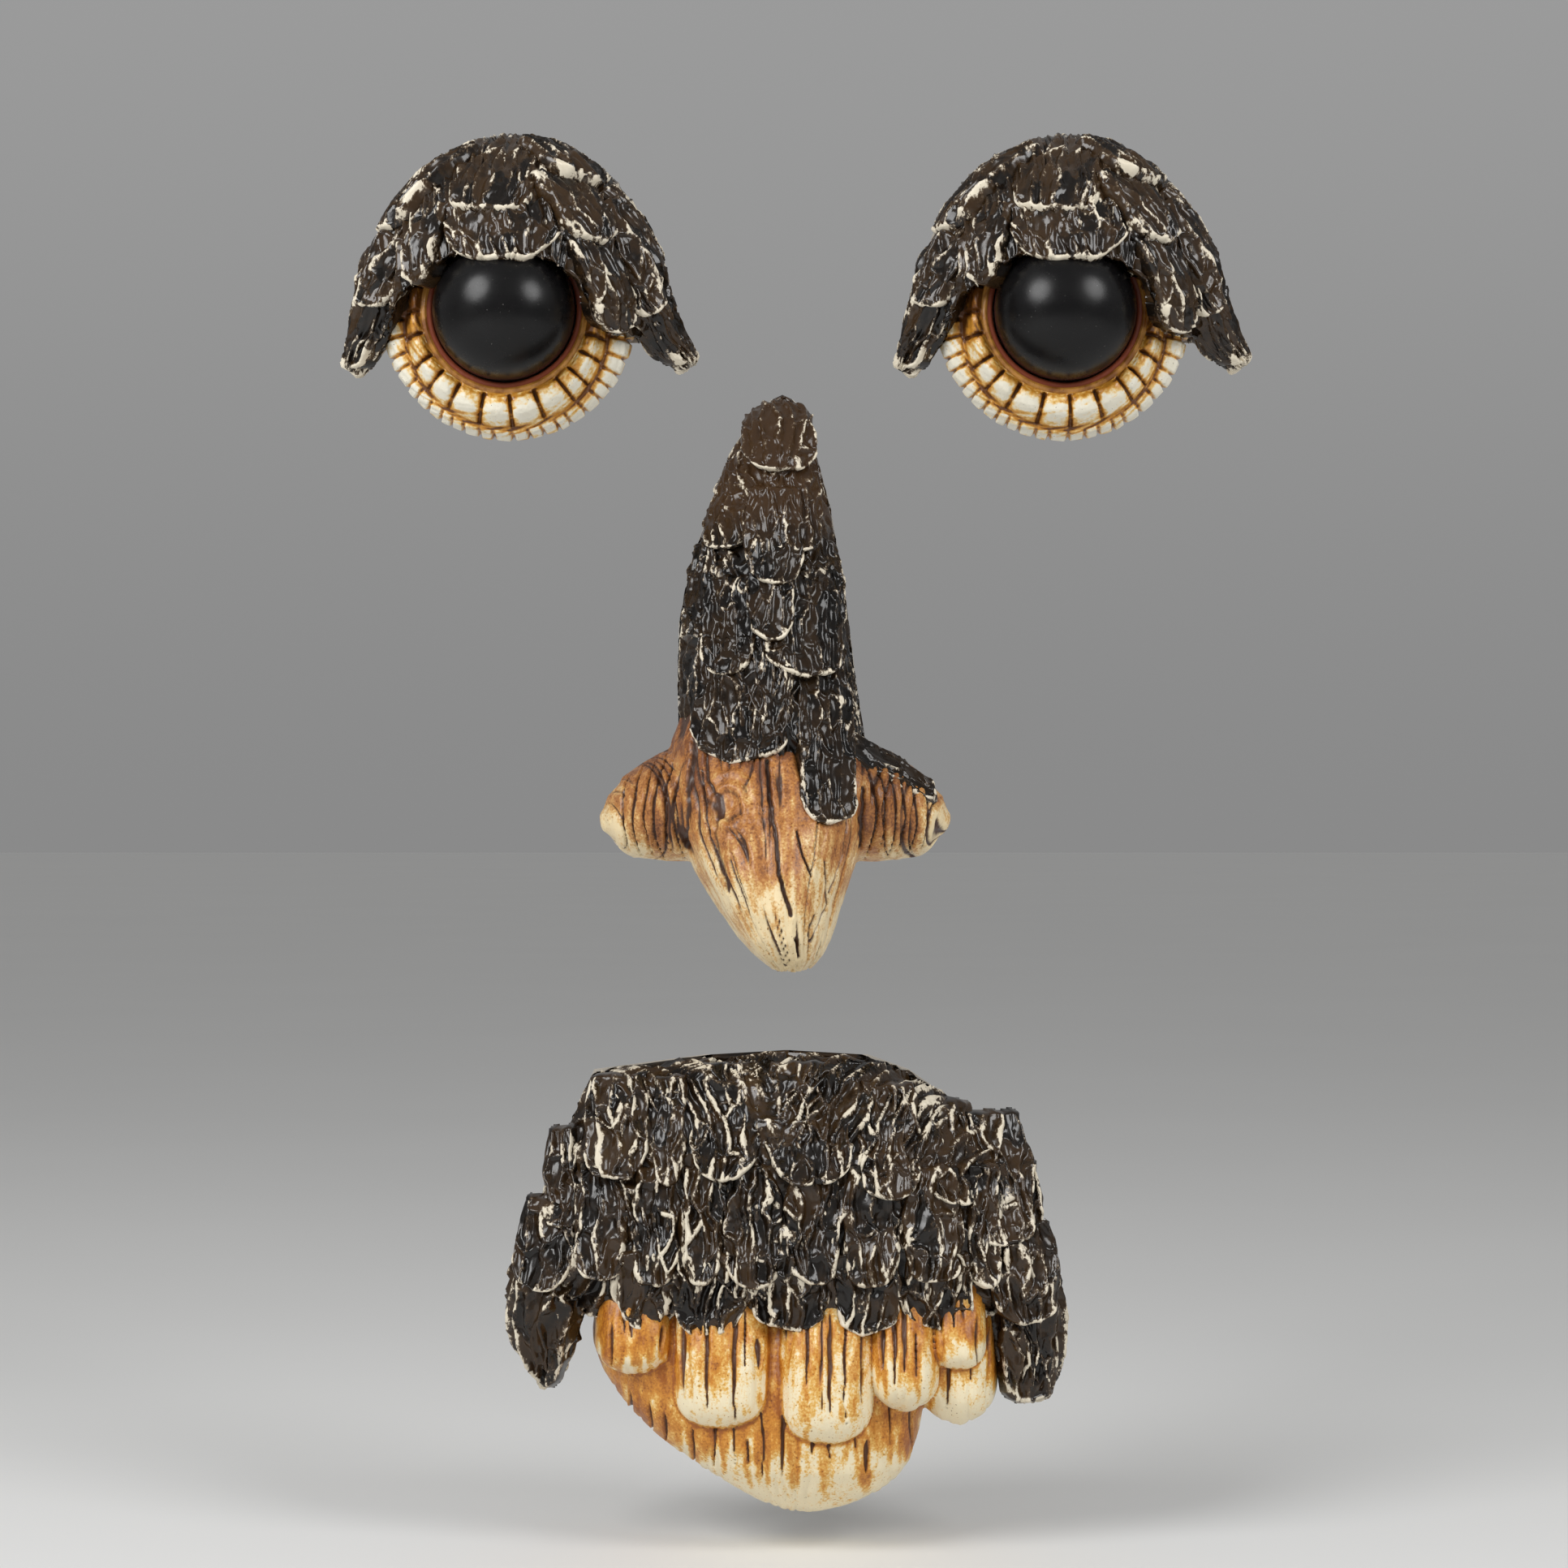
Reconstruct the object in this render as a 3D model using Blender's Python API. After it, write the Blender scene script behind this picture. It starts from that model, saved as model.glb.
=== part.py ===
"""Tree face sculpture: two eyes, a nose and a mouth, cast in resin as bark and pale wood, to hang on a tree.

Metres, +Z up. The castings look along -Y and their flat backs lie in the plane y = 0, against the trunk.
The origin is on the back of the nose. Each casting is drawn in its own unit, which is 1 mm at this size.
"""

import math

import bmesh
import bpy
from mathutils import Vector

# Sizes of the castings, and where they hang.
EYE_WIDTH = 0.1155
NOSE_HEIGHT = 0.189
MOUTH_WIDTH = 0.189
LEFT_EYE_ACROSS = -0.0883
RIGHT_EYE_ACROSS = 0.0946
EYE_RISE = 0.1206
MOUTH_DROP = 0.1915

# The glossy balls and their sockets.
BALL_RADIUS = 0.0232
BALL_FORWARD = 0.025
BALL_FLAT_BEHIND_CENTRE = 0.0165
SOCKET_GAP = 0.0003
BALL_SEGMENTS = 20
BALL_RINGS = 12

# The keyhole in each back, which hooks over a nail's head.
HEAD_RADIUS = 0.005
NECK_RADIUS = 0.0026
KEYHOLE_RISE = 0.009
KEYHOLE_WALL = 0.003
KEYHOLE_DEPTH = 0.008
KEYHOLE_CORNERS = 8
EYE_KEYHOLE_UP = 0.035
NOSE_KEYHOLE_UP = 0.046
MOUTH_KEYHOLE_UP = 0.034

# Stock behind the back plane, which the last cut takes off.
BACK_STOCK = 0.006

# The rings round the ball, in the eye's unit. Angles run from +X, so -90 degrees is straight down.
LID_STEPS = 72
TOOTH_COUNT = 24
LIP_WIDTH = 3.4
TOOTH_ROW_SIDE = 33.0
TOOTH_ROW_BELOW = 38.9
RIM_RADIUS = 42.6
RIM_CENTRE = (0.5, 0.8)
TOOTH_GAP_DEPTH = 1.7
SCALLOP_DEPTH = 1.0
RIM_BACK_INSET = 3.0
# From the rim to the socket: the line the radius starts from, how far outside it, how far forward,
# how much of the rim's offset it keeps, and how much of a gap's depth goes inward and backward.
LID_PROFILE = (
    ("rim", 0.0, 9.0, 1.0, 0.0, 0.0),
    ("rim", -0.6, 12.5, 1.0, 0.0, 0.0),
    ("groove", 0.0, 16.5, 0.5, 0.0, 0.0),
    ("groove", -1.0, 19.5, 0.4, 1.0, 1.0),
    ("crest", 1.0, 23.6, 0.3, 0.0, 1.0),
    ("lip", 1.6, 24.6, 0.0, 0.0, 0.5),
    ("lip", 0.5, 23.0, 0.0, 0.0, 0.0),
    ("lip", -0.8, 24.3, 0.0, 0.0, 0.0),
    ("socket", 0.0, 21.0, 0.0, 0.0, 0.0),
)

# The hood over the ball, in the eye's unit: an egg, cut off below by an arch.
HOOD_CENTRE = (2.0, 8.0)
HOOD_RADII = (48.5, 43.5, 53.5)
HOOD_ARCH = (
    (-40.0, -8.0), (-35.0, 4.0), (-25.0, 10.0), (-17.0, 15.5), (2.0, 16.5),
    (17.0, 13.5), (25.0, 7.5), (28.5, 1.5), (30.0, -5.5), (38.0, -8.0),
)
# Plates of bark: root across and up, tip across and up, width, and how far the free end stands out.
HOOD_PLATES = (
    (-10.0, 57.0, -41.0, 26.0, 28.0, 2.8),
    (3.0, 60.0, -5.0, 29.0, 33.0, 3.2),
    (10.0, 59.0, 31.0, 41.0, 30.0, 3.6),
    (15.0, 47.0, 33.0, 20.0, 24.0, 3.4),
    (0.0, 35.0, 2.0, 12.5, 41.0, 3.2),
    (-23.0, 35.0, -28.0, 7.0, 15.5, 3.0),
    (25.0, 27.0, 38.5, -7.5, 19.0, 3.4),
    (34.0, 42.0, 51.0, 4.0, 14.0, 3.6),
)
# Ends that droop past the hood's edge. Each station: across, forward, up, half width, half depth.
HOOD_DROOPS = (
    (
        (-26.0, 12.0, 34.0, 10.0, 12.0), (-37.5, 13.0, 14.0, 11.0, 14.0), (-43.5, 11.0, -1.0, 8.5, 11.0),
        (-48.5, 8.0, -11.0, 6.2, 7.5), (-52.5, 5.5, -17.0, 3.4, 4.0),
    ),
    (
        (29.0, 14.0, 34.0, 10.0, 13.0), (42.0, 14.0, 13.0, 11.0, 14.0), (47.5, 12.0, 1.0, 9.0, 12.0),
        (53.5, 9.0, -8.0, 7.4, 8.5), (60.0, 6.0, -15.5, 3.8, 4.5),
    ),
)
HOOD_CORE_FORWARD = 4.0

# The nose, in its own unit. Each station: height, left edge, right edge, how far forward.
NOSE_BRIDGE = (
    (96.0, -1.0, 6.0, 5.0), (91.0, -7.0, 11.0, 14.0), (78.0, -15.5, 14.0, 22.0), (60.0, -22.0, 19.0, 29.0),
    (40.0, -29.0, 22.5, 35.0), (20.0, -33.0, 25.5, 40.0),
    (0.0, -33.5, 28.0, 45.0), (-20.0, -33.0, 31.0, 49.0),
    (-34.0, -27.0, 28.0, 46.0),
)
NOSE_WOOD = (
    (-9.0, -31.0, 20.0, 34.0), (-20.0, -35.0, 30.0, 43.0),
    (-34.0, -36.0, 32.0, 52.0), (-50.0, -33.0, 31.0, 61.0),
    (-64.0, -27.0, 26.5, 66.0), (-76.0, -19.5, 22.5, 68.0),
    (-86.0, -12.5, 19.5, 66.0), (-92.0, -7.0, 16.5, 60.0),
    (-96.0, -2.0, 12.5, 50.0),
)
# The nostril wings, as droops on either side, mirrored across the nose's middle.
NOSE_WING = (
    (12.0, 0.0, -37.0, 26.0, 42.0), (28.0, 0.0, -41.0, 20.5, 34.0), (40.0, 0.0, -44.0, 17.5, 27.0),
    (50.0, 0.0, -46.5, 13.5, 20.0), (55.0, 0.0, -47.0, 9.0, 14.0), (57.5, 0.0, -47.5, 4.0, 7.0),
)
# Rows of bark plates: root height, edge height, left end, then the widths from left to right.
NOSE_ROWS = (
    (95.0, 68.5, -13.0, (28.0,), 2.6),
    (74.0, 43.0, -27.0, (22.0, 23.0), 2.4),
    (64.0, 30.5, -11.0, (22.0,), 3.4),
    (48.0, 13.0, -34.0, (24.0, 17.0, 19.0), 2.8),
    (34.0, 1.0, -26.0, (21.0, 30.0), 3.2),
    (14.0, -28.5, -30.0, (37.0,), 4.2),
)
# A tongue of bark that runs down onto the wood: root across and up, tip across and up, width, lift.
NOSE_TONGUE = (17.0, 12.0, 17.5, -48.0, 22.0, 3.4)
# A strip of bark on one wing: root and tip as across, forward and up, then width and lift.
NOSE_WING_BARK = ((24.0, -26.0, -20.0), (55.0, -12.0, -38.5), 15.0, 2.0)

# The mouth, in its own unit. Stations as on the nose.
LIP_BARK = (
    (69.0, -24.0, 32.0, 10.0), (64.0, -62.0, 46.0, 20.0),
    (50.0, -68.0, 66.0, 28.0), (34.0, -75.0, 86.0, 34.0),
    (16.0, -81.0, 90.0, 38.0), (0.0, -85.0, 93.0, 40.0),
    (-10.0, -82.0, 92.0, 39.0), (-17.0, -74.0, 90.0, 34.0),
)
LOWER_LIP = (
    (-8.0, -60.0, 62.0, 28.0), (-26.0, -62.0, 57.0, 33.0),
    (-36.0, -58.5, 53.0, 36.0), (-47.0, -51.5, 51.0, 38.0),
    (-58.0, -40.0, 49.0, 39.0), (-66.5, -28.5, 46.0, 37.0),
    (-74.0, -16.0, 40.0, 32.0), (-80.5, -5.5, 28.0, 24.0),
    (-83.5, 3.0, 17.0, 14.0),
)
# Ivory lobes: middle across, bottom, half width, how far forward.
LOBES = (
    (-46.0, -36.0, 14.5, 38.0),
    (-17.0, -55.0, 19.5, 44.0),
    (16.5, -60.0, 19.0, 45.5),
    (43.0, -47.5, 14.0, 42.5),
    (60.5, -35.0, 11.5, 39.0),
    (61.0, -53.0, 14.0, 33.0),
)
LOBE_TOP = 2.0
# Down a lobe: share of its height, of its width and of how far forward it stands.
LOBE_STATIONS = (
    (0.0, 0.96, 0.66), (0.4, 1.0, 0.84), (0.76, 0.98, 1.0), (0.92, 0.84, 0.94), (1.0, 0.48, 0.76),
)
MOUTH_ROWS = (
    (63.0, 29.5, -64.5, (23.5, 12.0), 4.4),
    (67.0, 29.5, -29.0, (25.0, 31.0), 4.4),
    (60.0, 22.5, 27.0, (22.0,), 4.4),
    (54.0, 21.0, 49.0, (20.0,), 4.0),
    (45.0, 13.0, -79.0, (16.0,), 2.6),
    (34.0, -4.0, -67.0, (19.0, 17.0, 14.0, 20.0, 19.0, 20.0, 21.0, 13.0, 15.0), 4.0),
    (6.0, -20.0, -53.0, (18.0, 26.0, 28.0, 23.0, 24.0), 5.0),
)
# Plates down the two ends: root and tip as across, forward and up, then width and lift.
MOUTH_SIDE_PLATES = (
    ((72.0, -11.5, 50.0), (75.0, -29.0, 7.0), 29.0, 3.8),
    ((82.0, -27.0, 14.0), (84.0, -30.0, -18.0), 26.0, 3.4),
    ((85.0, -27.0, -12.0), (85.5, -20.0, -46.0), 21.0, 3.0),
    ((-75.0, -22.0, 22.0), (-79.0, -29.5, -8.0), 22.0, 3.2),
    ((-77.0, -28.0, -6.0), (-76.0, -16.0, -42.0), 16.0, 2.6),
)
MOUTH_DROOPS = (
    (
        (74.0, 8.0, 16.0, 10.0, 12.0), (82.0, 14.0, -10.0, 14.0, 16.0), (85.0, 14.0, -30.0, 12.5, 13.0),
        (85.0, 11.0, -43.0, 8.5, 8.0),
    ),
    (
        (-66.0, 8.0, 16.0, 10.0, 12.0), (-76.0, 14.0, -8.0, 14.0, 16.0), (-77.0, 14.0, -26.0, 11.5, 13.0),
        (-75.5, 11.0, -40.0, 3.0, 5.0),
    ),
)
MOUTH_CORE_BEHIND = 70.0
CORE_ACROSS_SHARE = 0.7

# How square a casting's cross-section is: 2 gives an ellipse.
ROUND = 2.0
BLUNT = 2.5
BOXY = 2.8
SQUARE = 3.2
ARC_POINTS = 12
DROOP_POINTS = 10
PLATE_ACROSS = 4
PLATE_ALONG = 4
PLATE_ROOT_SHARE = 0.25
ROW_STAGGER = 1.5
PLATE_SINK = 8.0
CORE_TOP_SHARE = 0.84
PLATE_CROWN = 0.3
PLATE_ROUNDING = 0.16
PLATE_END_WIDTH = 0.85

# Colours, as red, green and blue from 0 to 1.
BARK_COLOUR = (0.075, 0.062, 0.052)
BALL_COLOUR = (0.006, 0.006, 0.007)


def material(name, colour, roughness):
    made = bpy.data.materials.new(name)
    made.use_nodes = True
    shader = made.node_tree.nodes["Principled BSDF"]
    shader.inputs["Base Color"].default_value = (*colour, 1.0)
    shader.inputs["Roughness"].default_value = roughness
    shader.inputs["Metallic"].default_value = 0.0
    return made


def object_from(bm, name):
    bmesh.ops.recalc_face_normals(bm, faces=bm.faces)
    mesh = bpy.data.meshes.new(name)
    bm.to_mesh(mesh)
    bm.free()
    made = bpy.data.objects.new(name, mesh)
    bpy.context.scene.collection.objects.link(made)
    return made


def stack(name, rings):
    """A closed solid through rings of points, each ring a closed loop, with both ends filled."""
    bm = bmesh.new()
    loops = [[bm.verts.new(point) for point in ring] for ring in rings]
    for lower, upper in zip(loops, loops[1:]):
        for i in range(len(lower)):
            j = (i + 1) % len(lower)
            bm.faces.new((lower[i], lower[j], upper[j], upper[i]))
    bm.faces.new(loops[0])
    bm.faces.new(loops[-1])
    bmesh.ops.triangulate(bm, faces=bm.faces)
    return object_from(bm, name)


def power(value, exponent):
    return math.copysign(abs(value) ** exponent, value)


def arc_ring(height, left, right, forward, squareness, back=BACK_STOCK):
    """A slice of a casting at one height: a bowed front from edge to edge, and a straight back."""
    middle, half = (left + right) / 2, (right - left) / 2
    ring = [(left, back, height)]
    for i in range(1, ARC_POINTS):
        turn = math.pi * (i / ARC_POINTS - 0.5)
        across = middle + half * power(math.sin(turn), 2 / squareness)
        ring.append((across, -forward * power(max(math.cos(turn), 0.0), 2 / squareness), height))
    ring.append((right, back, height))
    return ring


def station_solid(name, stations, unit, squareness):
    rings = [
        arc_ring(height * unit, left * unit, right * unit, forward * unit, squareness)
        for height, left, right, forward in stations
    ]
    return stack(name, rings)


def forward_at(stations, across, height, squareness):
    """How far forward a stack of stations stands at a point of its front view."""
    rows = sorted(stations)
    height = min(max(height, rows[0][0]), rows[-1][0])
    for low, high in zip(rows, rows[1:]):
        if height <= high[0]:
            break
    share = (height - low[0]) / (high[0] - low[0])
    left, right, forward = (low[i] + share * (high[i] - low[i]) for i in (1, 2, 3))
    offset = abs(across - (left + right) / 2) / ((right - left) / 2)
    return forward * (1 - min(offset, 0.97) ** squareness) ** (1 / squareness)


def egg(name, centre, radii, segments=20, rings=12):
    bm = bmesh.new()
    bmesh.ops.create_uvsphere(bm, u_segments=segments, v_segments=rings, radius=1.0)
    bmesh.ops.scale(bm, vec=radii, verts=bm.verts)
    bmesh.ops.translate(bm, vec=centre, verts=bm.verts)
    return object_from(bm, name)


def prism(name, outline, near, far):
    """A cutter: an outline in the front view, drawn out from y = near to y = far."""
    return stack(name, [[(x, y, z) for x, z in outline] for y in (near, far)])


def plate(name, root, tip, core_root, core_tip, width, lift, unit):
    """A plate of bark that wraps round a core: sunk at its root, and standing out at its rounded free end."""
    along = Vector(tip) - Vector(root)
    first, last = Vector(root) - Vector(core_root), Vector(tip) - Vector(core_tip)
    layers = {"inner": [], "outer": []}
    for i in range(PLATE_ALONG):
        t = i / (PLATE_ALONG - 1)
        core = Vector(core_root).lerp(Vector(core_tip), t)
        reach = first.length * (1 - t) + last.length * t
        ray = first.lerp(last, t).normalized()
        side = ray.cross(along).normalized()
        half = width / 2 * (PLATE_END_WIDTH + (1 - PLATE_END_WIDTH) * math.sin(math.pi * t))
        for j in range(PLATE_ACROSS):
            s = 2 * j / (PLATE_ACROSS - 1) - 1
            turn = s * half / reach
            way = ray * math.cos(turn) + side * math.sin(turn)
            draw_back = along.normalized() * (-PLATE_ROUNDING * width * s * s * t)
            rise = lift * (PLATE_ROOT_SHARE + (1 - PLATE_ROOT_SHARE) * t) * (1 - PLATE_CROWN * s * s)
            layers["outer"].append((core + way * (reach + rise) + draw_back) * unit)
            layers["inner"].append((core + way * (reach - min(PLATE_SINK, reach / 2)) + draw_back) * unit)
    return slab(name, layers["inner"], layers["outer"], PLATE_ACROSS, PLATE_ALONG)


def slab(name, inner, outer, across, along):
    """A closed slab between two grids of points of the same size."""
    bm = bmesh.new()
    grids = [[bm.verts.new(point) for point in layer] for layer in (inner, outer)]
    for grid in grids:
        for i in range(along - 1):
            for j in range(across - 1):
                k = i * across + j
                bm.faces.new((grid[k], grid[k + 1], grid[k + across + 1], grid[k + across]))
    edge = (
        [j for j in range(across)]
        + [i * across + across - 1 for i in range(1, along)]
        + [(along - 1) * across + j for j in range(across - 2, -1, -1)]
        + [i * across for i in range(along - 2, 0, -1)]
    )
    for a, b in zip(edge, edge[1:] + edge[:1]):
        bm.faces.new((grids[0][a], grids[0][b], grids[1][b], grids[1][a]))
    bmesh.ops.triangulate(bm, faces=bm.faces)
    return object_from(bm, name)


def droop(stations, unit, side=1):
    """A rounded arm through stations, each an ellipse square to the arm's path in the front view."""
    rings = []
    for i, (across, forward, up, half_width, half_depth) in enumerate(stations):
        before, after = stations[max(i - 1, 0)], stations[min(i + 1, len(stations) - 1)]
        path = Vector((after[0] - before[0], 0.0, after[2] - before[2])).normalized()
        square = Vector((-path.z, 0.0, path.x))
        ring = []
        for j in range(DROOP_POINTS):
            turn = 2 * math.pi * (j + 0.5) / DROOP_POINTS
            point = Vector((across, -forward, up)) + square * half_width * math.cos(turn)
            point.y -= half_depth * math.sin(turn)
            ring.append((side * point.x * unit, point.y * unit, point.z * unit))
        rings.append(ring)
    return stack("droop", rings)


def combine(target, others, operation):
    """Applies one Boolean after another to the target, and removes the tools."""
    for other in others:
        modifier = target.modifiers.new("combine", "BOOLEAN")
        modifier.operation = operation
        modifier.solver = "EXACT"
        modifier.object = other
        graph = bpy.context.evaluated_depsgraph_get()
        mesh = bpy.data.meshes.new_from_object(target.evaluated_get(graph))
        target.modifiers.clear()
        target.data = mesh
        bpy.data.objects.remove(other)


def join(target, others):
    combine(target, others, "UNION")


def cut(target, others):
    combine(target, others, "DIFFERENCE")


def circle_points(centre, radius, start, end, count):
    """Points on an arc in the front view, angles in degrees."""
    return [
        (
            centre[0] + radius * math.cos(math.radians(start + (end - start) * i / count)),
            centre[1] + radius * math.sin(math.radians(start + (end - start) * i / count)),
        )
        for i in range(count + 1)
    ]


def keyhole_cutters(across, up):
    """A round entry with a slot above it, and a wider chamber behind both for the nail's head."""
    low, high = (across, up), (across, up + KEYHOLE_RISE)
    half_angle = math.degrees(math.asin(NECK_RADIUS / HEAD_RADIUS))
    entry = circle_points(low, HEAD_RADIUS, 90 + half_angle, 450 - half_angle, KEYHOLE_CORNERS)
    entry += circle_points(high, NECK_RADIUS, 0, 180, KEYHOLE_CORNERS // 2)
    chamber = circle_points(low, HEAD_RADIUS, 180, 360, KEYHOLE_CORNERS // 2)
    chamber += circle_points(high, HEAD_RADIUS, 0, 180, KEYHOLE_CORNERS // 2)
    overlap = KEYHOLE_WALL / 4
    return [
        prism("entry", entry, BACK_STOCK, -KEYHOLE_WALL - overlap),
        prism("chamber", chamber, -KEYHOLE_WALL, -KEYHOLE_DEPTH),
    ]


def finish_casting(casting, reach, keyhole_up, colour):
    """Cuts the back flat, cuts the keyhole, and names the material."""
    stock = [(-reach, -reach), (reach, -reach), (reach, reach), (-reach, reach)]
    cut(casting, [prism("stock", stock, 0.0, reach)])
    cut(casting, keyhole_cutters(0.0, keyhole_up))
    casting.data.materials.clear()
    casting.data.materials.append(colour)
    casting.data.set_sharp_from_angle(angle=math.radians(35))


def lid_ring_point(step, radius, forward, unit, centre_share):
    angle = 2 * math.pi * step / LID_STEPS
    across = RIM_CENTRE[0] * centre_share + radius * math.cos(angle)
    up = RIM_CENTRE[1] * centre_share + radius * math.sin(angle)
    return (across * unit, -forward * unit, up * unit)


def lid_rings(unit, lip):
    """The scalloped rim, the row of teeth and the lip round the ball, from the back to the socket."""
    steps_per_tooth = LID_STEPS // TOOTH_COUNT
    rings = [[] for _ in range(len(LID_PROFILE) + 1)]
    for step in range(LID_STEPS):
        below = max(0.0, -math.sin(2 * math.pi * step / LID_STEPS))
        groove = TOOTH_ROW_SIDE + (TOOTH_ROW_BELOW - TOOTH_ROW_SIDE) * below
        sunk = TOOTH_GAP_DEPTH if step % steps_per_tooth == 0 else 0.0
        lines = {
            "rim": RIM_RADIUS - SCALLOP_DEPTH * (step % 2),
            "groove": groove,
            "crest": (groove + lip) / 2,
            "lip": lip,
            "socket": lip - LIP_WIDTH,
        }
        rings[0].append(lid_ring_point(step, RIM_RADIUS - RIM_BACK_INSET, -BACK_STOCK / unit, unit, 1.0))
        for ring, (line, outside, forward, centre_share, inward, backward) in zip(rings[1:], LID_PROFILE):
            radius = lines[line] + outside - sunk * inward
            ring.append(lid_ring_point(step, radius, forward - sunk * backward, unit, centre_share))
    return rings


def hood_forward(across, up):
    left = 1 - ((across - HOOD_CENTRE[0]) / HOOD_RADII[0]) ** 2 - ((up - HOOD_CENTRE[1]) / HOOD_RADII[2]) ** 2
    return HOOD_RADII[1] * math.sqrt(max(left, 0.02))


def hood(unit):
    centre = (HOOD_CENTRE[0] * unit, 0.0, HOOD_CENTRE[1] * unit)
    made = egg("hood", centre, [radius * unit for radius in HOOD_RADII], 28, 16)
    reach = 3 * HOOD_RADII[0]
    ends = (-reach, HOOD_ARCH[0][1]), (reach, HOOD_ARCH[-1][1])
    below = [ends[0], *HOOD_ARCH, ends[1], (reach, -reach), (-reach, -reach)]
    outline = [(x * unit, z * unit) for x, z in below]
    cut(made, [prism("arch", outline, reach * unit, -reach * unit)])
    return made


def hood_plates(unit):
    core = (HOOD_CENTRE[0], -HOOD_CORE_FORWARD, HOOD_CENTRE[1])
    made = []
    for x0, z0, x1, z1, width, lift in HOOD_PLATES:
        root = (x0, -hood_forward(x0, z0), z0)
        tip = (x1, -hood_forward(x1, z1), z1)
        made.append(plate("plate", root, tip, core, core, width, lift, unit))
    made += [droop(stations, unit) for stations in HOOD_DROOPS]
    return made


def socket_cutter():
    """The ball's own shape with the fitting gap all round."""
    return ball("socket", BALL_RADIUS + SOCKET_GAP, BALL_FLAT_BEHIND_CENTRE + SOCKET_GAP)


def ball(name, radius, flat_behind):
    made = egg(name, (0.0, -BALL_FORWARD, 0.0), (radius,) * 3, BALL_SEGMENTS, BALL_RINGS)
    face = flat_behind - BALL_FORWARD
    wide = 2 * radius
    square = [(-wide, -wide), (wide, -wide), (wide, wide), (-wide, wide)]
    cut(made, [prism("flat", square, face, face + wide)])
    return made


def eye_casting(name, colour):
    unit = EYE_WIDTH / 117.0
    lip = BALL_RADIUS / unit + LIP_WIDTH
    casting = stack(name, lid_rings(unit, lip))
    join(casting, [hood(unit), *hood_plates(unit)])
    cut(casting, [socket_cutter()])
    finish_casting(casting, 2 * EYE_WIDTH, EYE_KEYHOLE_UP, colour)
    return casting


def row_plates(rows, stations, squareness, behind, unit):
    """Rows of plates on a stack of stations, side by side from each row's left end."""
    made = []
    for root_up, edge_up, left, widths, lift in rows:
        for number, width in enumerate(widths):
            across = left + width / 2
            left += width
            drop = ROW_STAGGER * (number % 2)
            root = (across, -forward_at(stations, across, root_up, squareness), root_up)
            tip = (across, -forward_at(stations, across, edge_up - drop, squareness), edge_up - drop)
            made.append(cored_plate(root, tip, stations, behind, width, lift, unit))
    return made


def middle_at(stations, height):
    rows = sorted(stations)
    height = min(max(height, rows[0][0]), rows[-1][0])
    for low, high in zip(rows, rows[1:]):
        if height <= high[0]:
            break
    share = (height - low[0]) / (high[0] - low[0])
    return sum(low[i] + share * (high[i] - low[i]) for i in (1, 2)) / 2


def cored_plate(root, tip, stations, behind, width, lift, unit):
    """A plate round an upright core, in the middle of the stations or well behind a flat casting."""
    ceiling = max(station[0] for station in stations) * CORE_TOP_SHARE
    cores = []
    for across, _, up in (root, tip):
        middle = CORE_ACROSS_SHARE * across if behind else middle_at(stations, up)
        cores.append((middle, behind, min(up, ceiling)))
    return plate("plate", root, tip, *cores, width, lift, unit)


def nose_casting(name, colour):
    unit = NOSE_HEIGHT / 193.0
    casting = station_solid(name, NOSE_BRIDGE, unit, ROUND)
    wood = station_solid("wood", NOSE_WOOD, unit, BLUNT)
    wings = [droop(NOSE_WING, unit, side) for side in (-1, 1)]
    plates = row_plates(NOSE_ROWS, NOSE_BRIDGE, ROUND, 0.0, unit)
    x0, z0, x1, z1, width, lift = NOSE_TONGUE
    root = (x0, -forward_at(NOSE_BRIDGE, x0, z0, ROUND), z0)
    tip = (x1, -forward_at(NOSE_WOOD, x1, z1, BLUNT), z1)
    plates.append(cored_plate(root, tip, NOSE_BRIDGE, 0.0, width, lift, unit))
    root, tip, width, lift = NOSE_WING_BARK
    cores = [(across, 0.0, up + forward) for across, forward, up in (root, tip)]
    plates.append(plate("wing_bark", root, tip, *cores, width, lift, unit))
    join(casting, [wood, *wings, *plates])
    finish_casting(casting, 2 * NOSE_HEIGHT, NOSE_KEYHOLE_UP, colour)
    return casting


def lobe(middle, bottom, half_width, forward, unit):
    """One ivory lobe: a hanging drop, blunt at the bottom."""
    height = LOBE_TOP - bottom
    rings = []
    for share, width, depth in LOBE_STATIONS:
        up = (LOBE_TOP - share * height) * unit
        left, right = (middle - half_width * width) * unit, (middle + half_width * width) * unit
        rings.append(arc_ring(up, left, right, forward * depth * unit, SQUARE))
    return stack("lobe", rings)


def mouth_casting(name, colour):
    unit = MOUTH_WIDTH / 193.0
    casting = station_solid(name, LIP_BARK, unit, BOXY)
    lower = station_solid("lower_lip", LOWER_LIP, unit, BOXY)
    lobes = [lobe(*row, unit) for row in LOBES]
    plates = row_plates(MOUTH_ROWS, LIP_BARK, BOXY, MOUTH_CORE_BEHIND, unit)
    for root, tip, width, lift in MOUTH_SIDE_PLATES:
        plates.append(cored_plate(root, tip, LIP_BARK, MOUTH_CORE_BEHIND, width, lift, unit))
    plates += [droop(stations, unit) for stations in MOUTH_DROOPS]
    join(casting, [lower, *lobes, *plates])
    finish_casting(casting, 2 * MOUTH_WIDTH, MOUTH_KEYHOLE_UP, colour)
    return casting


def hang(piece, across, up):
    piece.location = (across, 0.0, up)
    return piece


def copy_of(piece, name):
    made = bpy.data.objects.new(name, piece.data)
    bpy.context.scene.collection.objects.link(made)
    return made


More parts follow.
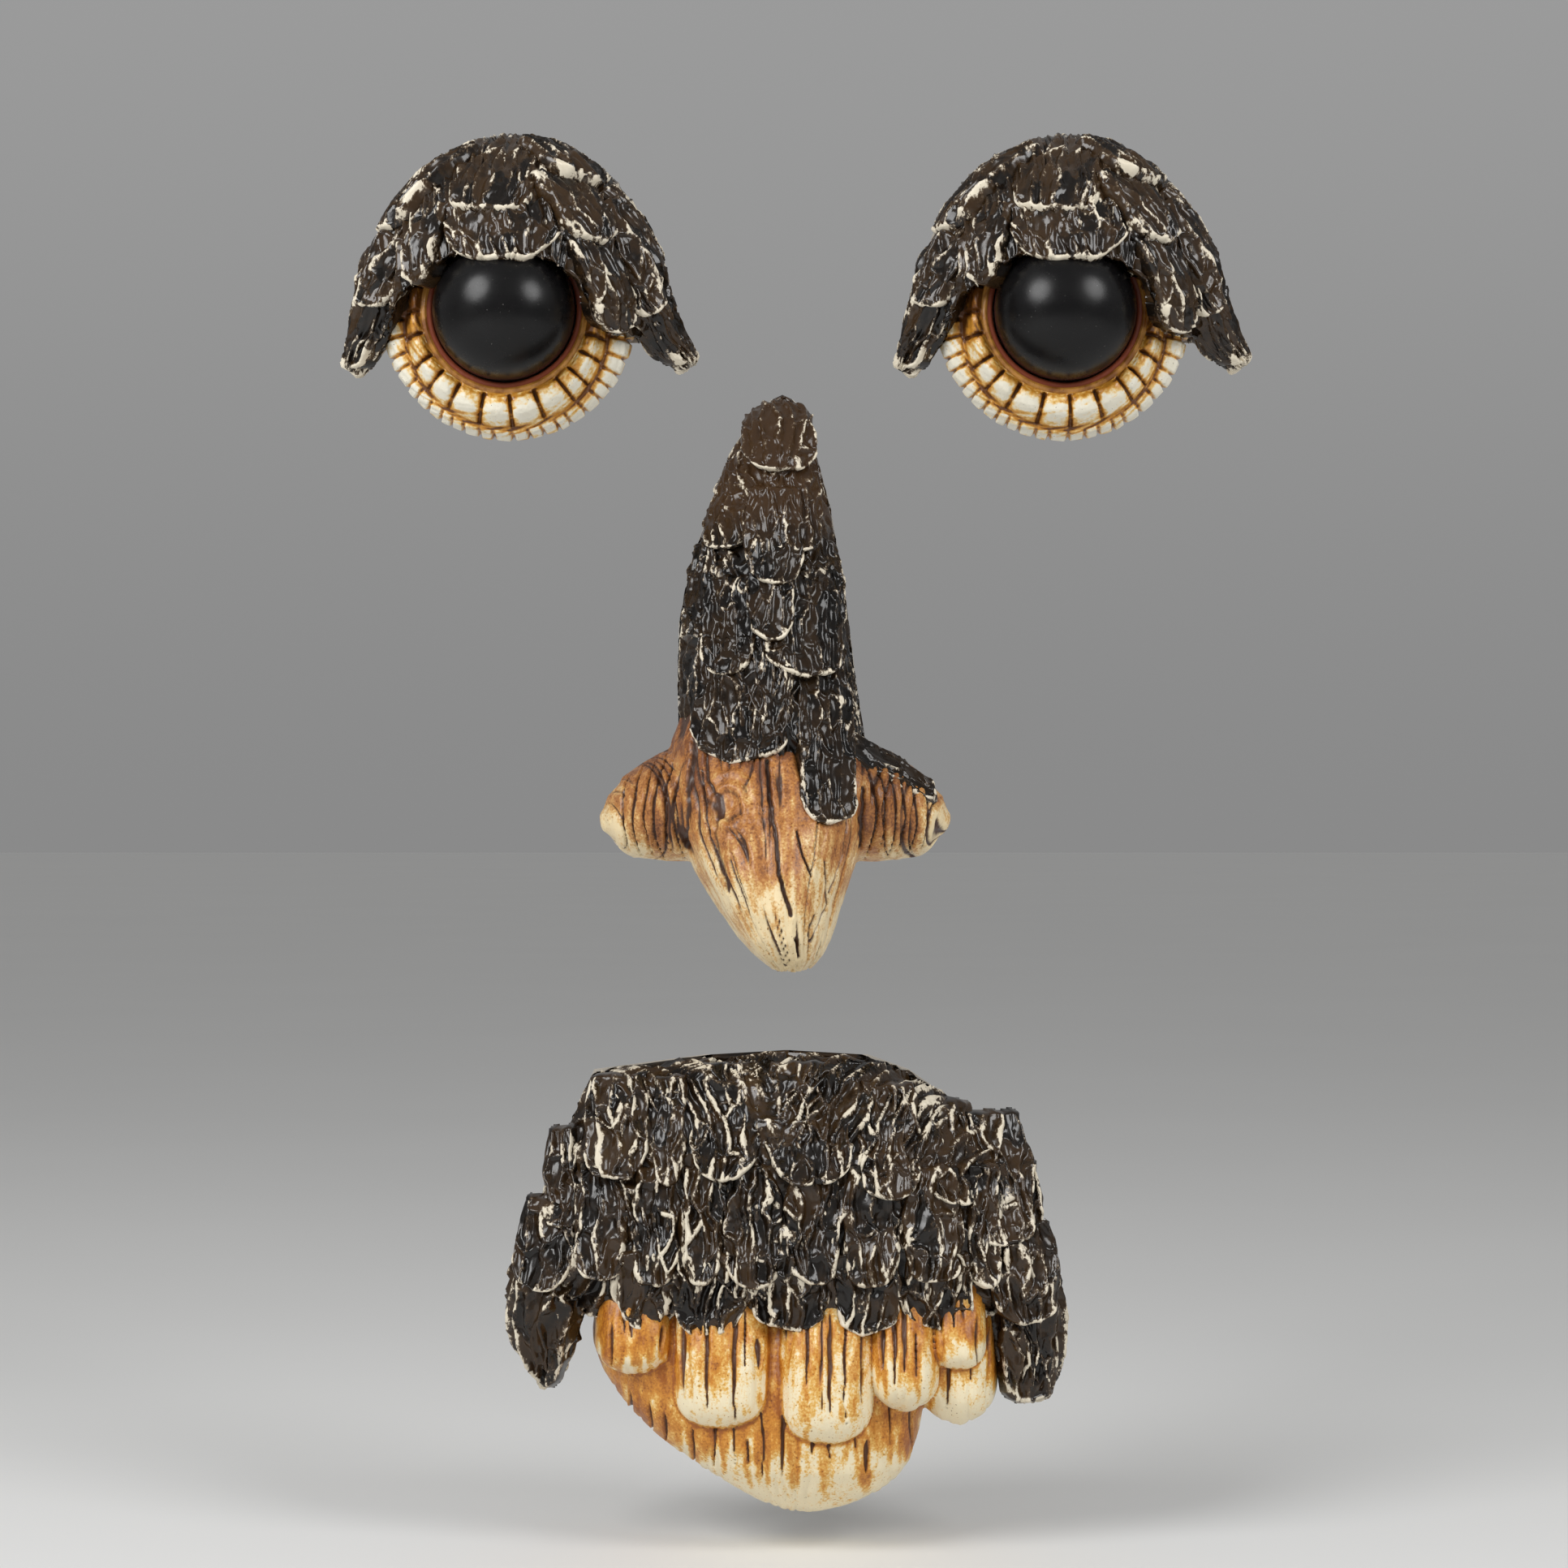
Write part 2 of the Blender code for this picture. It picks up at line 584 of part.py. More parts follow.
def main():
    for old in list(bpy.data.objects):
        bpy.data.objects.remove(old)
    bark = material("painted_bark", BARK_COLOUR, 0.35)
    gloss = material("black_gloss", BALL_COLOUR, 0.08)

    left_eye = eye_casting("left_eye", bark)
    left_ball = ball("left_eyeball", BALL_RADIUS, BALL_FLAT_BEHIND_CENTRE)
    left_ball.data.materials.append(gloss)
    left_ball.data.shade_smooth()
    hang(copy_of(left_eye, "right_eye"), RIGHT_EYE_ACROSS, EYE_RISE)
    hang(copy_of(left_ball, "right_eyeball"), RIGHT_EYE_ACROSS, EYE_RISE)
    hang(left_eye, LEFT_EYE_ACROSS, EYE_RISE)
    hang(left_ball, LEFT_EYE_ACROSS, EYE_RISE)
    nose_casting("nose", bark)
    hang(mouth_casting("mouth", bark), 0.0, -MOUTH_DROP)


main()
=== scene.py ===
"""The looks of the tree face sculpture: bark, ivory teeth, carved wood and glossy black balls.

Shapes are drawn in millimetres in each casting's own unit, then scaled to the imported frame.
"""

import math

import bmesh
import bpy
import numpy as np
from mathutils import Matrix, Vector


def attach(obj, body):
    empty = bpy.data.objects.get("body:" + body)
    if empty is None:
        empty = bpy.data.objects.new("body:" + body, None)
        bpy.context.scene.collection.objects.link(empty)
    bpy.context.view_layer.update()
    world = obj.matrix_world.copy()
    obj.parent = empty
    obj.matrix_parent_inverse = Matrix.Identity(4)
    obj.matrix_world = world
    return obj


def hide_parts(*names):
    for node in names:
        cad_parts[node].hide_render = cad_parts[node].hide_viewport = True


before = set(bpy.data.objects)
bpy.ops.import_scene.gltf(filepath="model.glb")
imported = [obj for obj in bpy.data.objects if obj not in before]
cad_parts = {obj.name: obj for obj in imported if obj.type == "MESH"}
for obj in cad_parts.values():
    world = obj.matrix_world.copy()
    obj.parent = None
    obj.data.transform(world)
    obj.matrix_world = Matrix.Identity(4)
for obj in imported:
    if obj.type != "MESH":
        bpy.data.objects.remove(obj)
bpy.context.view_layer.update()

# The castings' places and units, as in the part's source.
EYE_UNIT = 0.1155 / 117.0
NOSE_UNIT = 0.189 / 193.0
MOUTH_UNIT = 0.189 / 193.0
LEFT_EYE = (-0.0883, 0.1206)
RIGHT_EYE = (0.0946, 0.1206)
NOSE = (0.0, 0.0)
MOUTH = (0.0, -0.1915)

BALL_RADIUS = 0.0232
BALL_FORWARD = 0.025
BALL_FLAT_FORWARD = 0.0085

# How far up each casting's own frame the keyhole's entry lies, and the window that the front's meshes
# leave open behind it: half width, below the entry and above it.
KEYHOLE_UP = {"eye": 0.035, "nose": 0.046, "mouth": 0.034}
KEYHOLE_WINDOW = (0.0085, 0.0085, 0.0180)
# A packed face belongs to the back if it is this flat, or lies within these bounds of the entry.
FLAT_WITHIN = 0.00001
POCKET_HALF = 0.0056
POCKET_TOP = 0.0150
POCKET_DEEP = 0.0082

LIP_WIDTH = 3.4
LID_LIP = BALL_RADIUS / EYE_UNIT + LIP_WIDTH
TOOTH_ROW_SIDE = 33.0
TOOTH_ROW_BELOW = 38.9
RIM_RADIUS = 42.6
RIM_CENTRE = (0.5, 0.8)
TOOTH_COUNT = 25
RIM_BEAD_COUNT = 47
LID_STEPS = 760
LID_STEP = 0.48

HOOD_CENTRE = (2.0, 8.0)
HOOD_RADII = (48.5, 43.5, 53.5)
HOOD_ARCH = (
    (-40, -8), (-35, 4), (-25, 10), (-17, 15.5), (2, 16.5),
    (17, 13.5), (25, 7.5), (28.5, 1.5), (30, -5.5), (38, -8),
)
# Plates: across and up of the root, then of the tip, width and lift.
HOOD_PLATES = (
    (-10, 57, -41, 26, 28, 2.8),
    (3, 60, -5, 29, 33, 3.2),
    (10, 59, 31, 41, 30, 3.6),
    (15, 47, 33, 20, 24, 3.4),
    (0, 35, 2, 12.5, 41, 3.2),
    (-23, 35, -28, 7, 15.5, 3),
    (25, 27, 38.5, -7.5, 19, 3.4),
    (34, 42, 51, 4, 14, 3.6),
)
# Droops and wings: across, forward, up, half width and half depth of each station.
HOOD_DROOPS = (
    (
        (-26, 12, 34, 10, 12), (-37.5, 13, 14, 11, 14), (-43.5, 11, -1, 8.5, 11),
        (-48.5, 8, -11, 6.2, 7.5), (-52.5, 5.5, -17, 3.4, 4),
    ),
    (
        (29, 14, 34, 10, 13), (42, 14, 13, 11, 14), (47.5, 12, 1, 9, 12),
        (53.5, 9, -8, 7.4, 8.5), (60, 6, -15.5, 3.8, 4.5),
    ),
)
HOOD_CORE_FORWARD = 4.0

# Stations of a casting: up, left, right and forward.
NOSE_BRIDGE = (
    (96, -1, 6, 5), (91, -7, 11, 14), (78, -15.5, 14, 22), (60, -22, 19, 29),
    (40, -29, 22.5, 35), (20, -33, 25.5, 40), (0, -33.5, 28, 45), (-20, -33, 31, 49),
    (-34, -27, 28, 46),
)
NOSE_WOOD = (
    (-9, -31, 20, 34), (-20, -35, 30, 43), (-34, -36, 32, 52), (-50, -33, 31, 61),
    (-64, -27, 26.5, 66), (-76, -19.5, 22.5, 68), (-86, -12.5, 19.5, 66), (-92, -7, 16.5, 60),
    (-96, -2, 12.5, 50),
)
NOSE_WING = (
    (12, 0, -37, 26, 42), (28, 0, -41, 20.5, 34), (40, 0, -44, 17.5, 27),
    (50, 0, -46.5, 13.5, 20), (55, 0, -47, 9, 14), (57.5, 0, -47.5, 4, 7),
)
# Rows of plates: root up, edge up, left end, widths and lift.
NOSE_ROWS = (
    (95, 68.5, -13, (28,), 2.6),
    (74, 43, -27, (22, 23), 2.4),
    (64, 30.5, -11, (22,), 3.4),
    (48, 13, -34, (24, 17, 19), 2.8),
    (34, 1, -26, (21, 30), 3.2),
    (14, -28.5, -30, (37,), 4.2),
)
NOSE_TONGUE = (17.0, 12.0, 17.5, -48.0, 22.0, 3.4)
NOSE_WING_BARK = ((24.0, -26.0, -20.0), (55.0, -12.0, -38.5), 15.0, 2.0)

LIP_BARK = (
    (69, -24, 32, 10), (64, -62, 46, 20), (50, -68, 66, 28), (34, -75, 86, 34),
    (16, -81, 90, 38), (0, -85, 93, 40), (-10, -82, 92, 39), (-17, -74, 90, 34),
)
LOWER_LIP = (
    (-8, -60, 62, 28), (-26, -62, 57, 33), (-36, -58.5, 53, 36), (-47, -51.5, 51, 38),
    (-58, -40, 49, 39), (-66.5, -28.5, 46, 37), (-74, -16, 40, 32), (-80.5, -5.5, 28, 24),
    (-83.5, 3, 17, 14),
)
# Lobes: middle, bottom, half width and forward.
LOBES = (
    (-46, -36, 14.5, 38),
    (-17, -55, 19.5, 44),
    (16.5, -60, 19, 45.5),
    (43, -47.5, 14, 42.5),
    (60.5, -35, 11.5, 39),
    (61, -53, 14, 33),
)
LOBE_TOP = 2.0
LOBE_FOOT = 0.66
MOUTH_ROWS = (
    (63, 29.5, -64.5, (23.5, 12), 4.4),
    (67, 29.5, -29, (25, 31), 4.4),
    (60, 22.5, 27, (22,), 4.4),
    (54, 21, 49, (20,), 4),
    (45, 13, -79, (16,), 2.6),
    (34, -4, -67, (19, 17, 14, 20, 19, 20, 21, 13, 15), 4),
    (6, -20, -53, (18, 26, 28, 23, 24), 5),
)
MOUTH_SIDE_PLATES = (
    ((72, -11.5, 50), (75, -29, 7), 29, 3.8),
    ((82, -27, 14), (84, -30, -18), 26, 3.4),
    ((85, -27, -12), (85.5, -20, -46), 21, 3),
    ((-75, -22, 22), (-79, -29.5, -8), 22, 3.2),
    ((-77, -28, -6), (-76, -16, -42), 16, 2.6),
)
MOUTH_DROOPS = (
    (
        (74, 8, 16, 10, 12), (82, 14, -10, 14, 16), (85, 14, -30, 12.5, 13),
        (85, 11, -43, 8.5, 8),
    ),
    (
        (-66, 8, 16, 10, 12), (-76, 14, -8, 14, 16), (-77, 14, -26, 11.5, 13),
        (-75.5, 11, -40, 3, 5),
    ),
)
MOUTH_CORE_BEHIND = 70.0
CORE_ACROSS_SHARE = 0.7
CORE_TOP_SHARE = 0.84

ROUND = 2.0
BLUNT = 2.5
BOXY = 2.8
SQUARE = 3.2
PLATE_ROOT_SHARE = 0.25
ROW_STAGGER = 1.5
PLATE_CROWN = 0.3
PLATE_ROUNDING = 0.16
PLATE_SINK = 6.0
PLATE_EDGE = 1.8

# How far apart the points of a grid lie, in mm.
STEP = 0.55
WOOD_STEP = 0.8
LOBE_STEP = 0.7

# Scales on the hood's two arms: root and tip as across, forward and up, then width and lift.
ARM_PLATES = (
    ((-36, -25.5, 24), (-46.5, -20.5, 1), 17, 2.4),
    ((-43.5, -20.5, 4), (-52, -9, -17), 10.5, 1.8),
    ((41, -26, 22), (49.5, -21, -1), 16, 2.4),
    ((48.5, -20.5, 0), (59, -9.5, -15.5), 10, 1.8),
)

# The bark's crests: how far apart they run and how high they stand, in mm.
EYE_GRAIN = (4.2, 2.0)
NOSE_GRAIN = (4.0, 1.7)
MOUTH_GRAIN = (5.2, 3.0)
ATTRIBUTES = ("crest", "lip", "stain")
MM = 0.001
# No front surface comes nearer to the plane of the backs, in metres.
BACK_GAP = 0.05 * MM
# The most triangles of each piece, by the end of its name.
TRIANGLES = (
    ("mouth_bark", 185000), ("nose_bark", 120000), ("nose_wood", 110000),
    ("lower_lip", 90000), ("hood", 115000), ("lid", 85000),
)


# Noise and curves

def lattice(ix, iy, seed):
    value = (ix * 374761393 + iy * 668265263 + seed * 974634777) & 0xFFFFFFFF
    value = ((value ^ (value >> 13)) * 1274126177) & 0xFFFFFFFF
    return (value ^ (value >> 16)) / 4294967295.0


def noise(x, y, seed):
    """Smooth gradient noise, roughly from -1 to 1."""
    x, y = np.broadcast_arrays(np.asarray(x, float), np.asarray(y, float))
    ix, iy = np.floor(x).astype(np.int64), np.floor(y).astype(np.int64)
    fx, fy = x - ix, y - iy
    corners = []
    for dx in (0, 1):
        for dy in (0, 1):
            angle = 2 * np.pi * lattice(ix + dx, iy + dy, seed)
            corners.append(np.cos(angle) * (fx - dx) + np.sin(angle) * (fy - dy))
    ux = fx ** 3 * (fx * (6 * fx - 15) + 10)
    uy = fy ** 3 * (fy * (6 * fy - 15) + 10)
    low = corners[0] + (corners[1] - corners[0]) * uy
    high = corners[2] + (corners[3] - corners[2]) * uy
    return 1.6 * (low + (high - low) * ux)


def smooth(low, high, value):
    t = np.clip((value - low) / (high - low), 0.0, 1.0)
    return t * t * (3 - 2 * t)


def bark_relief(x, y, seed, grain):
    """Long cells with raised rims that run along y.

    Gives how close each point lies to a rim, the height in mm, and a tone of the cell's own.
    """
    spacing, rise = grain
    tall = 2.7 * spacing
    u = x / spacing + 0.5 * noise(x / (2.1 * spacing), y / (3.4 * spacing), seed + 1)
    u = u + 0.16 * noise(x / (0.7 * spacing), y / (1.1 * spacing), seed + 2)
    v = y / tall + 0.35 * noise(x / (1.2 * spacing), y / (2.4 * spacing), seed + 3)
    column = np.floor(u).astype(np.int64)
    near, far = np.full(u.shape, 1e9), np.full(u.shape, 1e9)
    near_u, near_v, far_u, far_v, tone = (np.zeros(u.shape) for _ in range(5))
    for beside in (-1, 0, 1):
        across = column + beside
        shift = 0.5 * (across & 1)
        row = np.floor(v - shift).astype(np.int64)
        for above in (-1, 0, 1):
            down = row + above
            seed_u = across + 0.5 + 0.6 * (lattice(across, down, seed + 5) - 0.5)
            seed_v = down + shift + 0.5 + 0.8 * (lattice(across, down, seed + 6) - 0.5)
            gap = (u - seed_u) ** 2 + (v - seed_v) ** 2
            first, second = gap < near, gap < far
            far_u = np.where(first, near_u, np.where(second, seed_u, far_u))
            far_v = np.where(first, near_v, np.where(second, seed_v, far_v))
            far = np.where(first, near, np.where(second, gap, far))
            near_u, near_v = np.where(first, seed_u, near_u), np.where(first, seed_v, near_v)
            tone = np.where(first, lattice(across, down, seed + 9), tone)
            near = np.where(first, gap, near)
    step_u, step_v = far_u - near_u, far_v - near_v
    off = ((near_u + far_u) / 2 - u) * step_u + ((near_v + far_v) / 2 - v) * step_v
    steep = np.maximum(np.hypot(step_u / spacing, step_v / tall), 1e-6)
    away = np.maximum(off / steep, 0.0)
    upright = np.abs(step_u / spacing) / steep
    vary = np.clip(0.75 + 0.8 * noise(x / (1.5 * spacing), y / (1.6 * tall), seed + 8), 0.2, 1.2)
    ragged = np.maximum(away + 0.25 * noise(x / 1.3, y / 1.7, seed + 7), 0.0)
    crest = np.exp(-(ragged / (0.165 * spacing)) ** 2) * (0.3 + 0.7 * upright) * vary
    wall = np.exp(-(away / (0.27 * spacing)) ** 1.5) * (0.4 + 0.6 * upright) * (0.5 + 0.5 * vary)
    swell = 0.18 * noise(x / (0.45 * spacing), y / (1.3 * spacing), seed + 10)
    swell = swell + 0.3 * noise(x / (3 * spacing), y / (2.5 * spacing), seed + 11)
    return np.clip(crest, 0, 1), rise * (0.95 * wall + swell - 0.45), tone


def groove_relief(x, y, seed, spacing=4.5, length=60.0):
    """Long carved grooves in smooth wood or ivory: how deep the groove is (0 to 1), and the height in mm."""
    warp = 0.3 * noise(x / 17, y / 23, seed + 1) + 0.12 * noise(x / 5, y / 14, seed + 2)
    line = 1 - 5.0 * np.abs(noise((x / spacing) + warp, y / length + 3.3, seed + 3))
    gate = smooth(-0.45, 0.05, noise(x / (spacing * 1.3), y / (length * 0.36), seed + 4))
    groove = np.clip(line, 0, 1) * gate
    fine = np.clip(1 - 6.0 * np.abs(noise(x / 1.7 + warp, y / 24, seed + 5)), 0, 1) * 0.35
    groove = np.clip(groove + fine * smooth(0.0, 0.6, noise(x / 9, y / 12, seed + 6)), 0, 1)
    swell = 0.5 * noise(x / spacing + warp, y / length, seed + 8)
    return groove, swell - 1.2 * groove + 0.12 * noise(x / 1.6, y / 2.4, seed + 7)


def chance(number, seed):
    return float(lattice(np.array(number), np.array(7), seed))


def scored(x, z, lines):
    """Carved lines down the front view, pointed at both ends: 1 in the middle of a line, 0 off it."""
    found = np.zeros(np.shape(x))
    for number, (across, top, bottom, width) in enumerate(lines):
        share = (top - z) / (top - bottom)
        middle = across + 0.7 * noise(z / 11, np.full(np.shape(z), number + 0.5), 77)
        half = width * np.clip(np.minimum(share / 0.25, (1 - share) / 0.5), 0, 1) ** 0.7
        line = smooth(1.0, 0.3, np.abs(x - middle) / np.maximum(half, 0.05))
        found = np.maximum(found, np.where((share > 0) & (share < 1), line, 0.0))
    return found


def rounding_kernel(size):
    return np.hanning(size) / np.hanning(size).sum()


def rounded(line, size):
    """A row of values with its kinks rounded off over so many of them, and its ends kept."""
    return np.convolve(np.pad(line, size // 2, "edge"), rounding_kernel(size), "valid")


def run_along(path):
    """How far along a path each of its points lies."""
    return np.concatenate(([0], np.cumsum(np.linalg.norm(np.diff(path, axis=0), axis=1))))


def table(stations, heights):
    """Left, right and forward of a stack of stations at the given heights, with the kinks rounded off."""
    rows = np.array(sorted(stations))
    span = np.linspace(rows[0, 0], rows[-1, 0], 400)
    kernel = rounding_kernel(27)
    found = []
    for column in (1, 2, 3):
        line = np.interp(span, rows[:, 0], rows[:, column])
        padded = np.concatenate((2 * line[0] - line[13:0:-1], line, 2 * line[-1] - line[-2:-15:-1]))
        found.append(np.interp(heights, span, np.convolve(padded, kernel, "valid")))
    return found


def station_at(stations, height):
    """Left, right and forward of a stack of stations at one height, straight from one to the next."""
    heights, *columns = zip(*sorted(stations))
    return [float(np.interp(height, heights, column)) for column in columns]


def forward_at(stations, across, height, squareness):
    left, right, forward = station_at(stations, height)
    offset = abs(across - (left + right) / 2) / ((right - left) / 2)
    return forward * (1 - min(offset, 0.97) ** squareness) ** (1 / squareness)


def unit_vectors(vectors):
    return vectors / np.maximum(np.linalg.norm(vectors, axis=-1, keepdims=True), 1e-9)


def grid_normals(points, wrap=False):
    if wrap:
        padded = np.concatenate((points[:, -1:], points, points[:, :1]), axis=1)
        across = np.gradient(padded, axis=1)[:, 1:-1]
    else:
        across = np.gradient(points, axis=1)
    down = np.gradient(points, axis=0)
    return unit_vectors(np.cross(across, down))


class Skin:
    """Collects grids of points into one mesh, in a casting's own unit."""

    def __init__(self):
        self.points, self.faces, self.values = [], [], []
        self.count = 0

    def sheet(self, points, values, wrap=False, keep=None):
        rows, cols = points.shape[:2]
        index = np.arange(rows * cols).reshape(rows, cols) + self.count
        if wrap:
            index = np.concatenate((index, index[:, :1]), axis=1)
        corners = index[:-1, :-1], index[1:, :-1], index[1:, 1:], index[:-1, 1:]
        quads = np.stack(corners, axis=-1).reshape(-1, 4)
        if keep is not None:
            quads = quads[keep.ravel()]
        self.points.append(points.reshape(-1, 3))
        self.faces.append(quads)
        spread = [np.broadcast_to(values.get(name, 0.0), (rows, cols)).reshape(-1) for name in ATTRIBUTES]
        self.values.append(np.stack(spread, axis=-1))
        self.count += rows * cols

    def closed(self, points):
        """Adds a tube with its first and last rows drawn together, so that the grid is closed."""
        for row in (0, -1):
            points[row] = points[row].mean(axis=0)
        self.sheet(points, {}, wrap=True)

    def make(self, name, unit, place, material):
        points = np.concatenate(self.points) * unit
        points[:, 1] = np.minimum(points[:, 1], -BACK_GAP)
        points += np.array((place[0], 0.0, place[1]))
        faces = np.concatenate(self.faces)
        used, faces = np.unique(faces, return_inverse=True)
        values = np.concatenate(self.values)[used]
        return mesh_piece(name, points[used], faces.reshape(-1, 4), values, material)


def linked(name, data):
    piece = bpy.data.objects.new(name, data)
    bpy.context.scene.collection.objects.link(piece)
    return piece


def mesh_piece(name, points, faces, values, material):
    mesh = bpy.data.meshes.new(name)
    mesh.from_pydata(points.tolist(), [], faces.tolist())
    mesh.validate()
    for column, attribute in enumerate(ATTRIBUTES):
        layer = mesh.attributes.new(attribute, "FLOAT", "POINT")
        layer.data.foreach_set("value", np.ascontiguousarray(values[:, column], dtype=np.float32))
    mesh.shade_smooth()
    mesh.materials.append(material)
    piece = linked(name, mesh)
    thin(piece, next(limit for ending, limit in TRIANGLES if name.endswith(ending)))
    return piece


def thin(piece, limit):
    """Takes faces out where the surface is flattest, down to a number of triangles."""
    triangles = sum(len(face.vertices) - 2 for face in piece.data.polygons)
    if triangles <= limit:
        return
    modifier = piece.modifiers.new("thin", "DECIMATE")
    modifier.ratio = limit / triangles
    graph = bpy.context.evaluated_depsgraph_get()
    done = bpy.data.meshes.new_from_object(
        piece.evaluated_get(graph), preserve_all_data_layers=True, depsgraph=graph
    )
    full = piece.data
    piece.modifiers.clear()
    piece.data = done
    bpy.data.meshes.remove(full)
    places = np.empty(len(done.vertices) * 3)
    done.vertices.foreach_get("co", places)
    places[1::3] = np.minimum(places[1::3], -BACK_GAP)
    done.vertices.foreach_set("co", places)
    done.update()


# Bark

def bark_plate(skin, root, tip, core_root, core_tip, width, lift, seed, grain, taper=0.0):
    """A plate of bark as a blister: it rises from its root to a rolled lip, and falls away all round."""
    root, tip, core_root, core_tip = (np.array(p, float) for p in (root, tip, core_root, core_tip))
    chord = tip - root
    length = float(np.linalg.norm(chord))
    along = chord / length
    rows, cols = int(length * 1.16 / STEP), int(width * 1.2 / STEP)
    t = np.linspace(-0.04, 1.12, rows)[:, None, None]
    s = np.linspace(-1.2, 1.2, cols)[None, :, None]
    core = core_root + (core_tip - core_root) * t
    spokes = root - core_root, tip - core_tip
    reach = np.linalg.norm(spokes[0]) * (1 - t) + np.linalg.norm(spokes[1]) * t
    ray = unit_vectors(spokes[0] * (1 - t) + spokes[1] * t)
    side = unit_vectors(np.cross(ray, along))
    half = width / 2 * (0.85 + 0.15 * np.sin(np.pi * np.clip(t, 0, 1))) * (1 - taper * np.clip(t, 0, 1) ** 2)
    turn = s * half / reach
    way = ray * np.cos(turn) + side * np.sin(turn)
    shift = along * (-PLATE_ROUNDING * width * s * s * t)
    s2, t2, half2 = s[..., 0], t[..., 0], half[..., 0]
    x, y = s2 * half2 + 0 * t2, t2 * length + 0 * s2
    inward = -1.6 * np.log(np.exp(-(1 - np.abs(s2)) * half2 / 1.6) + np.exp(-(1 - t2) * length / 1.6))
    inward = inward + 1.3 * noise(x / 9, y / 9, seed + 20) + 0.25 * noise(x / 3, y / 3, seed + 21) + 0.3
    inward = np.minimum(inward, y + 1.0 + 1.5 * noise(x / 6, y / 6, seed + 23))
    crest, height, tone = bark_relief(x, y, seed, grain)
    fall = np.sqrt(1 - (1 - np.clip(inward / PLATE_EDGE, 0, 1)) ** 2)
    tip_share = smooth(0.35, 1.0, t2)
    place = inward - 1.3 - 0.35 * noise(x / 3.4, y / 3.4, seed + 24)
    lip = np.exp(-(place / 0.85) ** 2) * (0.3 + 0.7 * tip_share)
    lip = lip * np.clip(0.72 + 0.95 * noise(x / 4.2, y / 4.2, seed + 22), 0.0, 1.15) * smooth(0.0, 6.0, y)
    rise = lift * (PLATE_ROOT_SHARE + (1 - PLATE_ROOT_SHARE) * t2) * (1 - PLATE_CROWN * s2 * s2)
    rise = rise + 0.9 * lip + height * smooth(0.0, 2.0, inward) - 0.4
    out = (-PLATE_SINK * (1 - fall) + rise * fall)[..., None]
    points = core + way * (reach + out) + shift
    risen = fall > 0
    keep = risen[:-1, :-1] | risen[1:, :-1] | risen[1:, 1:] | risen[:-1, 1:]
    values = {"crest": crest * smooth(0.2, 1.4, inward), "lip": np.clip(lip, 0, 1), "stain": tone}
    skin.sheet(points, values, keep=keep)


def bark_grid(skin, points, x, y, seed, outward, grain):
    crest, height, tone = bark_relief(x, y, seed, grain)
    normals = grid_normals(points) * outward
    moved = points + normals * (height + 0.8 * noise(x / 16, y / 16, seed + 40) - 0.3)[..., None]
    skin.sheet(moved, {"crest": crest, "stain": tone})


def droop(skin, stations, seed, grain=None, side=1):
    """A rounded arm through stations, each an ellipse square to the arm's path in the front view."""
    rows = np.array(stations, float)
    path = rows[:, (0, 2)]
    run = run_along(path)
    end = 0.45 * rows[-1, 3]
    count = int((run[-1] + end) / STEP)
    fine = np.linspace(0, run[-1] + end, count)
    across, forward, up, half_width, half_depth = (
        rounded(np.interp(fine, run, rows[:, i]), 11) for i in range(5)
    )
    tangent = np.gradient(np.stack((across, up), -1), axis=0)
    tail = path[-1] - path[-2]
    tangent[fine > run[-1] - 3] = tail
    tangent = unit_vectors(tangent)
    over = np.clip((fine - run[-1]) / end, 0, 1)
    across = across + tail[0] / np.linalg.norm(tail) * over * end
    up = up + tail[1] / np.linalg.norm(tail) * over * end
    shrink = np.sqrt(np.maximum(1 - over ** 2, 0.0004))
    around = int(2 * math.pi * max(rows[:, 3]) / STEP)
    turn = np.linspace(0, 2 * math.pi, around, endpoint=False)[None, :]
    wide = (half_width * shrink)[:, None] * np.cos(turn)
    deep = (half_depth * shrink)[:, None] * np.sin(turn)
    points = np.stack(
        (
            side * (across[:, None] - tangent[:, 1][:, None] * wide),
            -forward[:, None] - deep,
            up[:, None] + tangent[:, 0][:, None] * wide,
        ),
        -1,
    )
    if grain is None:
        skin.closed(points)
        return
    x = turn * rows[:, 3].mean() * 1.1 + 0 * fine[:, None]
    mirrored = np.minimum(x, 2 * math.pi * rows[:, 3].mean() * 1.1 - x)
    y = fine[:, None] + 0 * turn
    crest, height, tone = bark_relief(mirrored, y, seed, grain)
    normals = grid_normals(points, wrap=True)
    centre = np.stack((side * across, -forward, up), -1)[:, None, :]
    facing = np.sign(np.sum(normals * (points - centre), axis=-1).mean())
    lip = np.exp(-((y - run[-1] - 0.6 * end) / 2.6) ** 2)
    lip = lip * (0.5 + 0.6 * noise(x / 4, y / 4, seed + 9))
    moved = points + normals * facing * ((height + 0.5 * lip) * shrink[:, None])[..., None]
    skin.sheet(moved, {"crest": crest, "lip": np.clip(lip, 0, 1), "stain": tone}, wrap=True)


def clear_of(inside):
    """The quads of a wrapped grid that have no corner inside."""
    inside = inside | np.roll(inside, -1, axis=1)
    return ~(inside[:-1] | inside[1:])


